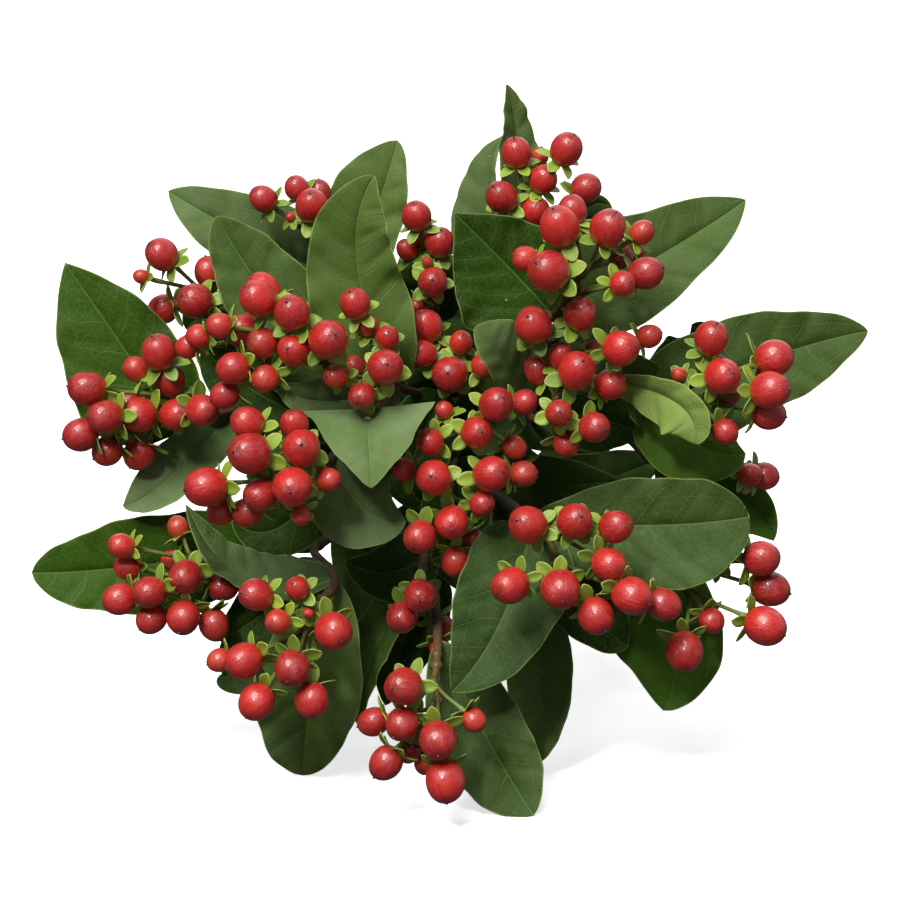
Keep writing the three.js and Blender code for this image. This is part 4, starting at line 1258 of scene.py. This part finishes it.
def add_sepals(shape, berry, balls, rng):
    start = rng.uniform(0, 2 * pi)
    lift = radians(rng.uniform(*SEPAL_LIFT))
    fresh = rng.uniform(0.1, 0.9)
    for k in range(SEPALS):
        angle = start + (k + rng.uniform(-0.13, 0.13)) * 2 * pi / SEPALS
        length = (2.9 + 0.68 * berry["radius"]) * rng.uniform(0.85, 1.12)
        width = 0.64 * length * rng.uniform(0.9, 1.12)
        own_lift = lift + radians(rng.uniform(*SEPAL_OWN_LIFT))
        bend = radians(rng.uniform(*SEPAL_BEND))
        grid, half, v, along = clearest_sepal(berry, balls, angle, length, width, own_lift, bend)
        edge = np.minimum(half[:, None] * (1 - np.abs(v)), (length - along)[:, None] + 0.1)
        thickness = np.where(edge > 0.05, SEPAL_THICKNESS, SEPAL_RIM_THICKNESS)[..., None]
        shift = grid_normals(grid) * thickness / 2
        points = np.concatenate([grid + shift, grid - shift]).reshape(-1, 3)
        fields = np.broadcast_arrays(half[:, None] * v, along[:, None], edge)
        blade = np.stack(fields, axis=-1).reshape(-1, 3)
        tone = [rng.uniform(0, 1), min(1, max(0, fresh + rng.uniform(-0.15, 0.15))), rng.uniform(0, 1)]
        faces = shell_faces(SEPAL_ROWS, SEPAL_COLUMNS)
        shape.add(points, faces, "sepal", blade=np.vstack([blade, blade]), tone=tone)


def add_stalk(shape, berry, fork_direction, rng):
    """The stalk of one berry, which widens into the cup that its sepals grow from."""
    root, axis, radius = berry["root"], berry["axis"], berry["radius"]
    cup = berry["centre"] + axis * STALK_TOP * radius
    reach = norm(cup - root)
    sunk = root - fork_direction * 1.2
    controls = [sunk, root + fork_direction * 0.3 * reach, cup - axis * 0.4 * reach, cup]
    shares = np.linspace(0, 1, STALK_STEPS)
    line = np.vstack([curve_points(controls, shares), cup + axis * 0.12 * radius])
    radii = np.append(np.full(STALK_STEPS - 2, STALK_RADIUS), [0.85, 0.27 * radius, 0.3 * radius])
    radii[0] *= 1.25
    points, faces = skin(tube_rings(line, radii, STALK_SIDES), line[0], line[-1])
    redness = np.clip(1.1 - np.append(shares, 1), 0, 1) * rng.uniform(0.6, 1)
    shape.add(points, faces, "stalk", tone=tube_tone(redness, STALK_SIDES))


def add_branchlet(shape, start, end, radius, direction, redness):
    """A branchlet that bends from one direction to another and swells at its far joint."""
    reach = norm(end - start)
    aim = unit(end - start)
    controls = [start - direction * 0.8, start + direction * reach * 0.3, end - aim * reach * 0.3, end]
    shares = np.linspace(0, 1, BRANCHLET_STEPS)
    line = curve_points(controls, shares)
    swell = 0.35 * np.exp(-((shares / 0.12) ** 2)) + 0.75 * np.exp(-(((1 - shares) / 0.14) ** 2))
    radii = radius * (1 + swell)
    cap = end + aim * radius * 1.3
    rings = tube_rings(np.vstack([line, cap]), np.append(radii, radius * 0.7), BRANCH_SIDES)
    points, faces = skin(rings, line[0], cap + aim * 0.3)
    shape.add(points, faces, "stalk", tone=[0, redness, 0])


def build_cluster(cluster, berry_balls, rng):
    name, knot, out = cluster["name"], cluster["knot"], cluster["out"]
    fruit = Shape()
    green = Shape()
    add_branchlet(green, cluster["foot"], knot, BRANCH_RADIUS, out, 0.9)
    for fork in cluster["forks"]:
        add_branchlet(green, knot, fork, BRANCHLET_RADIUS, out, 0.8)
    for berry in cluster["own"]:
        add_berry(fruit, berry, rng)
        add_stalk(green, berry, unit(berry["root"] - knot), rng)
        add_sepals(green, berry, berry_balls, rng)
    fruit.build(f"fruit_{name}", "berry", f"berries_{name}")
    green.build(f"calyces_{name}", "leaf_and_wood")


# ---- Leaves ----

LEAF_THICKNESS = 0.55
LEAF_RIM_THICKNESS = 0.22
LEAF_RIM_WIDTH = 1.5
MIDRIB_DEPTH = 0.9
MIDRIB_WIDTH = 0.7
MIDRIB_GROOVE = 0.3
QUILT_HEIGHT = 0.6
QUILT_WIDTH = 1.8
EDGE_WAVE = 0.045
EDGE_RIPPLE = 0.3
OUTLINE_WAVE = 0.035
OUTLINE_RIPPLE = 0.012


def smooth_between(shares, stations, values):
    """A smooth curve through values at the stations."""
    stations = np.asarray(stations, float)
    slopes = np.gradient(values, stations, axis=0)
    k = np.clip(np.searchsorted(stations, shares, side="right") - 1, 0, len(stations) - 2)
    width = (stations[k + 1] - stations[k])[:, None]
    t = (shares - stations[k])[:, None] / width
    return (
        (1 + 2 * t) * (1 - t) ** 2 * values[k]
        + t * (1 - t) ** 2 * width * slopes[k]
        + t**2 * (3 - 2 * t) * values[k + 1]
        + t**2 * (t - 1) * width * slopes[k + 1]
    )


def blade_columns(half):
    """Places across a blade, from 1 at its left edge to -1: closer at the midrib and at the edges."""
    inner = np.linspace(0.12, 0.94, max(int(half / LEAF_STEP), 4))
    right = np.concatenate([[0.05], inner, [1 - 0.25 / half, 1]])
    return np.concatenate([right[::-1], [0], -right])


def smoothed(field):
    padded = np.pad(field, ((1, 1), (1, 1), (0, 0)), mode="edge")
    around = padded[:-2, 1:-1] + padded[2:, 1:-1] + padded[1:-1, :-2] + padded[1:-1, 2:]
    return (around + 4 * field) / 8


def pushed_clear(grid, balls, base):
    """Moves the points of a fine blade off the balls that they still touch, smoothly."""
    start = grid.copy()
    hold = np.clip(norm(grid - base, axis=-1) / BASE_FREE_RADIUS - 0.4, 0, 1)[..., None]
    for turn in range(PUSH_PASSES):
        away = grid.reshape(-1, 1, 3) - balls.centres
        distance = norm(away, axis=-1)
        short = balls.radii + PUSH_MARGIN - distance
        worst = np.argmax(short, axis=1)
        rows = np.arange(len(worst))
        share = np.maximum(short[rows, worst], 0) / np.maximum(distance[rows, worst], 0.1)
        field = grid + (away[rows, worst] * share[:, None]).reshape(grid.shape) * hold - start
        if turn < PUSH_PASSES - 1:
            for _ in range(PUSH_SMOOTHINGS):
                field = smoothed(field)
        grid = start + field
    return grid


def uneven_grid(blade, shares, columns, half, rng):
    """The bent blade, with an outline that swells and narrows a little along each side."""
    _, sides, _ = blade_axes(blade, shares)
    turns = shares[:, None] * 2 * pi
    left = columns > 0
    uneven = OUTLINE_WAVE * np.sin(turns * rng.uniform(1.6, 2.4) + rng.uniform(0, 6, 2)[left.astype(int)])
    uneven = uneven + OUTLINE_RIPPLE * np.sin(turns * rng.uniform(4, 6) + left * rng.uniform(0, 6))
    grid = blade_grid(blade, shares, columns)
    grid += sides[:, None] * (uneven * half * columns)[..., None]
    lift = smooth_between(shares, blade["stations"], blade["lift"])
    edge_lift = np.where(left[None], lift[:, :1], lift[:, 2:])
    grid[..., 2] += lift[:, 1:2] + (edge_lift - lift[:, 1:2]) * np.abs(columns) ** 1.3
    return grid


def blade_relief(blade, across, along, length, columns, rng):
    """The height of the waves at the edges, of the quilting between the veins and of the midrib's
    groove, and the veins' ladder, a number that is whole on each side vein."""
    left = columns > 0
    phase = rng.uniform(0, 6.28, 4)
    wave = np.sin(along * 2 * pi / rng.uniform(13, 19) + phase[0] + left * phase[1])
    wave += EDGE_RIPPLE * np.sin(along * 2 * pi / rng.uniform(7, 10) + phase[2] * np.sign(columns))
    wave *= EDGE_WAVE * max(blade["left"], blade["right"]) * np.abs(columns) ** 3
    spacing = length / rng.uniform(5, 6.5)
    forward = 0.45 * np.abs(across) + 0.035 * across**2
    ladder = (along - forward) / spacing + np.where(left, 0.37, 0)
    rung = np.abs((ladder + 0.5) % 1 - 0.5) * spacing
    vein_distance = np.minimum(np.abs(across), rung)
    quilt = QUILT_HEIGHT * (1 - np.exp(-((vein_distance / QUILT_WIDTH) ** 2)))
    return quilt + wave - MIDRIB_GROOVE * np.exp(-((across / 0.9) ** 2)), ladder


def blade_faces(grid, across, edge, shares):
    """The points of a blade's upper and lower sides, which is thin at the rim and has a rib below."""
    facing = grid_normals(grid)
    thinning = LEAF_THICKNESS - LEAF_RIM_THICKNESS
    thickness = LEAF_RIM_THICKNESS + thinning * np.clip(edge / LEAF_RIM_WIDTH, 0, 1)
    rib = MIDRIB_DEPTH * np.exp(-((across / MIDRIB_WIDTH) ** 2)) * (1 - shares[:, None]) ** 0.7
    upper = grid + facing * (thickness / 2)[..., None]
    lower = grid - facing * (thickness / 2 + rib)[..., None]
    return np.concatenate([upper, lower]).reshape(-1, 3)


def add_blade(shape, blade, balls, rng):
    midrib = curve_points(blade["midrib"], np.linspace(0, 1, MIDRIB_STEPS))
    length = norm(np.diff(midrib, axis=0), axis=1).sum()
    rows = int(length / LEAF_STEP) + 2
    shares = np.linspace(0, 1, rows) ** 0.9
    columns = blade_columns(max(blade["left"], blade["right"]))
    half = np.maximum(half_widths(blade, shares, columns), 0.2)
    across = half * columns
    along = np.broadcast_to((shares * length)[:, None], across.shape)
    grid = uneven_grid(blade, shares, columns, half, rng)
    relief, ladder = blade_relief(blade, across, along, length, columns, rng)
    _, _, normals = blade_axes(blade, shares)
    grid += normals[:, None] * (relief * np.sin(pi * shares)[:, None])[..., None]
    near = near_blade(grid, balls)
    if len(near.radii):
        grid = pushed_clear(grid, near, blade["midrib"][0])

    u = np.abs(columns)
    edge = np.minimum((1 - u) * half, ((1 - shares) * length)[:, None] * 0.6)
    loop_share = 0.62 * np.clip((shares - 0.05) / 0.33, 0, 1) ** 0.6
    loop = (u - loop_share[:, None]) * half
    vein = np.stack([loop, ladder, edge], axis=-1).reshape(-1, 3)
    upper = np.stack([across, along, np.ones(across.shape)], axis=-1).reshape(-1, 3)
    shape.add(
        blade_faces(grid, across, edge, shares),
        shell_faces(rows, len(columns)),
        "leaf",
        vein=np.vstack([vein, vein]),
        blade=np.vstack([upper, upper * [1, 1, 0]]),
        tone=np.clip(np.array(blade["tone"]) + rng.uniform(-0.06, 0.06, 3), 0, 1),
    )


# ---- Wood ----

NODE_SPACING = 34
NODE_SWELL = 0.16
NODE_LENGTH = 1.6
STEM_RIDGE = 0.05
CUT_LIFT = 0.06
CUT_SHARES = np.array([1.0, 0.9, 0.6, 0.25])


def add_wood(shape, line, radii, sides, redness, rng):
    """A round stem or branch with low swollen joints along it."""
    along = np.append(0, np.cumsum(norm(np.diff(line, axis=0), axis=1)))
    from_node = ((along / NODE_SPACING + rng.uniform(0, 1)) % 1 - 0.5) * NODE_SPACING
    swell = 1 + NODE_SWELL * np.exp(-((from_node / NODE_LENGTH) ** 2))
    ridge = 1 + STEM_RIDGE * np.cos(2 * circle_angles(sides))
    middles = line[:, None]
    rings = middles + (tube_rings(line, radii * swell, sides) - middles) * ridge[None, :, None]
    points, faces = skin(rings, line[0], line[-1])
    around = around_field(sides, along, (0, along[-1]))
    red = np.interp(along, [0, along[-1]], redness)
    shape.add(points, faces, "wood", around=around, tone=tube_tone(red, sides, rng.uniform(0, 1)))


def add_cut(shape, centre, direction, radius):
    """The pale cut face at the foot of a stem."""
    face = centre + direction * CUT_LIFT
    rings = face + ring(*cross_axes(direction), STEM_SIDES) * (CUT_SHARES * radius)[:, None, None]
    points, faces = skin(rings, None, face)
    around = np.zeros((len(points), 3))
    around[:, 0] = np.append(np.repeat(CUT_SHARES, STEM_SIDES), 0)
    shape.add(points, faces, "cut", around=around)


def build_stem(stem, balls, rng):
    shape = Shape()
    rise = curve_points(stem["rise"], np.linspace(0, 1, STEM_STEPS))
    foot = np.linspace(stem["cut"], stem["below"], FOOT_STEPS)[:-1]
    neck = np.linspace(stem["below"], rise[0], NECK_STEPS)[:-1]
    line = np.vstack([foot, neck, rise])
    risen = np.append(np.zeros(len(foot) + len(neck)), np.linspace(0, 1, STEM_STEPS))
    radii = STEM_RADIUS + (STEM_TIP_RADIUS - STEM_RADIUS) * risen
    add_wood(shape, line, radii, STEM_SIDES, [0.95, 0.5], rng)
    add_cut(shape, line[0], unit(line[0] - line[1]), radii[0] * 0.98)
    for controls in stem["branches"].values():
        branch = curve_points(controls, np.linspace(0, 1, BRANCH_STEPS))
        foot_point = controls[-1] + unit(controls[-1] - controls[-2]) * BRANCH_END
        branch = np.vstack([branch[0] - stem["lean"] * BRANCH_SUNK, branch, foot_point])
        add_wood(shape, branch, np.full(len(branch), BRANCH_RADIUS), BRANCH_SIDES, [0.5, 0.8], rng)
    for start, end in stem["spurs"]:
        spur = straight_points(start, end, SPUR_STEPS)
        add_wood(shape, spur, np.full(SPUR_STEPS, BRANCH_RADIUS), BRANCH_SIDES, [0.6, 0.3], rng)
        add_cut(shape, end, unit(end - start), BRANCH_RADIUS)
    for blade in stem["blades"]:
        add_blade(shape, blade, balls, rng)
    shape.build(f"stem_{stem['number']}", "leaf_and_wood", f"leafy_stem_{stem['number']}")


# ---- The rubber band ----

BAND_TURN_WIDTH = 3.1
BAND_TURN_THICKNESS = 1.1
BAND_TURN_GAP = 0.3
BAND_STEM_GAP = 0.1
BAND_CROSSING = 3.2
# Where the two turns cross, one of them stands out this much further.
BAND_OVER = 1.15
BAND_OVER_LENGTH = 0.22


def band_line():
    """The middle of one endless band, wound twice round the stems so that it crosses itself once."""
    angles = np.linspace(0, 4 * pi, BAND_STEPS, endpoint=False)
    slots = np.array([angle for ring_number, angle, _ in STEMS.values() if ring_number == 1])
    gaps = (np.degrees(angles)[:, None] - slots + 180) % 360 - 180
    nearest = np.radians(np.abs(gaps).min(axis=1))
    hull = RING_RADII[1] * np.cos(nearest) + STEM_RADIUS
    swing = np.cos(angles / 2)
    over = BAND_OVER * np.exp(-((swing / BAND_OVER_LENGTH) ** 2)) * (angles < 2 * pi)
    radius = hull + BAND_TURN_THICKNESS / 2 + BAND_STEM_GAP + over
    outward = np.stack([np.cos(angles), np.sin(angles), np.zeros(BAND_STEPS)], axis=-1)
    line = outward * radius[:, None]
    apart = (BAND_TURN_WIDTH + BAND_TURN_GAP) / 2
    line[:, 2] = TIE_DEPTH + np.tanh(BAND_CROSSING * swing) / math.tanh(BAND_CROSSING) * apart
    return line, outward


def rounded(values, power):
    return np.sign(values) * np.abs(values) ** power


def build_band():
    line, outward = band_line()
    directions = unit(np.roll(line, -1, axis=0) - np.roll(line, 1, axis=0))
    broad = unit(np.cross(directions, outward))
    thick = np.cross(broad, directions)
    across, out = circle(BAND_SIDES)
    w = rounded(across, 0.35) * BAND_TURN_WIDTH / 2
    t = rounded(out, 0.45) * BAND_TURN_THICKNESS / 2
    rings = line[:, None] + broad[:, None] * w[None, :, None] + thick[:, None] * t[None, :, None]
    k = np.arange(BAND_STEPS)[:, None] * BAND_SIDES
    after = np.roll(k, -1, axis=0)
    i = np.arange(BAND_SIDES)[None]
    j = (i + 1) % BAND_SIDES
    faces = np.stack([k + i, k + j, after + j, after + i], axis=-1).reshape(-1, 4)
    shape = Shape()
    shape.add(rings.reshape(-1, 3), [faces], "rubber")
    shape.build("band_wound", "rubber_band", "rubber_band")


# ---- The studio ----

CAMERA_LENS = 154
CAMERA_SENSOR = 36
CAMERA_CLIP = 50
ROOM_STRENGTH = 0.11
FLOOR_HALF = 30

# The strength, the turns about x, y and z in degrees, and the width in degrees.
SUNS = {
    "key": (3.9, (28, -15, 0), 34),
    "glint": (1.2, (46, -22, 0), 6),
    "front": (0.25, (74, 6, 0), 80),
    "back": (0.9, (-58, 12, 0), 60),
    "side": (0.5, (-10, 66, 0), 70),
}


def add_to_scene(name, data):
    thing = bpy.data.objects.new(name, data)
    bpy.context.scene.collection.objects.link(thing)
    return thing


def make_camera():
    data = bpy.data.cameras.new("camera")
    data.lens = CAMERA_LENS
    data.sensor_width = CAMERA_SENSOR
    data.clip_end = CAMERA_CLIP
    camera = add_to_scene("camera", data)
    high, flat = sin(SLOPE), cos(SLOPE)
    camera.matrix_world = Matrix(((1, 0, 0), (0, high, -flat), (0, flat, high))).to_4x4()
    camera.location = to_world([0, 0, REACH_OF_EYE])
    bpy.context.scene.camera = camera


def make_sun(name, strength, turn, width):
    data = bpy.data.lights.new(name, "SUN")
    data.energy = strength
    data.angle = radians(width)
    add_to_scene(name, data).rotation_euler = [radians(angle) for angle in turn]


def make_floor():
    mesh = bpy.data.meshes.new("floor")
    corners = [(-1, -1), (1, -1), (1, 1), (-1, 1)]
    mesh.from_pydata([(x * FLOOR_HALF, y * FLOOR_HALF, 0) for x, y in corners], [], [(0, 1, 2, 3)])
    mesh.materials.append(floor_material())
    floor = add_to_scene("floor", mesh)
    floor.visible_diffuse = False
    floor.visible_glossy = False


def make_studio():
    world = bpy.data.worlds.new("pale_room")
    world.use_nodes = True
    background = world.node_tree.nodes["Background"]
    background.inputs["Color"].default_value = (1, 1, 1, 1)
    background.inputs["Strength"].default_value = ROOM_STRENGTH
    bpy.context.scene.world = world
    for name, sun in SUNS.items():
        make_sun(name, *sun)
    make_floor()
    bpy.context.scene.view_settings.view_transform = "Standard"


# ---- The bunch ----

band_low, band_high = (np.array(corner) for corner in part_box("rubber_band"))
ORIGIN = np.zeros(3)
ORIGIN = (band_low + band_high) / 2 - to_world([0, 0, TIE_DEPTH])

make_camera()
make_studio()
MATERIALS = {
    "berry": berry_material(),
    "leaf": leaf_material(),
    "sepal": sepal_material(),
    "stalk": stalk_material(),
    "wood": wood_material(),
    "cut": cut_material(),
    "rubber": rubber_material(),
}

berries = place_berries()
clusters = {name: make_cluster(name, berries) for name in CLUSTERS}
numbers = {name: number for number, name in enumerate(CLUSTERS)}
stems = [make_stem(number, index, clusters) for index, number in enumerate(STEMS)]
balls = Balls()
for name, cluster in clusters.items():
    add_cluster_balls(balls, cluster, numbers[name])
blades = [front_blade(stems, *row) for row in LEAVES.values()]
blades += [lower_blade(stem, side) for stem in stems for side in (1, -1)]
grow_blades(blades, balls, numbers)
add_inner_berries(clusters, stems, balls, numbers)
shade_blades = [shade_blade(stems, name) for name in SHADE_LEAVES]
grow_blades(shade_blades, balls, numbers, len(blades))
for blade in blades + shade_blades:
    blade["stem"]["blades"].append(blade)

thing_balls = balls.chosen(balls.things < FIRST_BLADE)
rng = np.random.default_rng(SEED)
every_berry = [berry for cluster in clusters.values() for berry in cluster["own"]]
berry_balls = [np.array([berry[key] for berry in every_berry]) for key in ("centre", "radius")]
for cluster in clusters.values():
    build_cluster(cluster, berry_balls, rng)
for stem in stems:
    build_stem(stem, thing_balls, rng)
build_band()
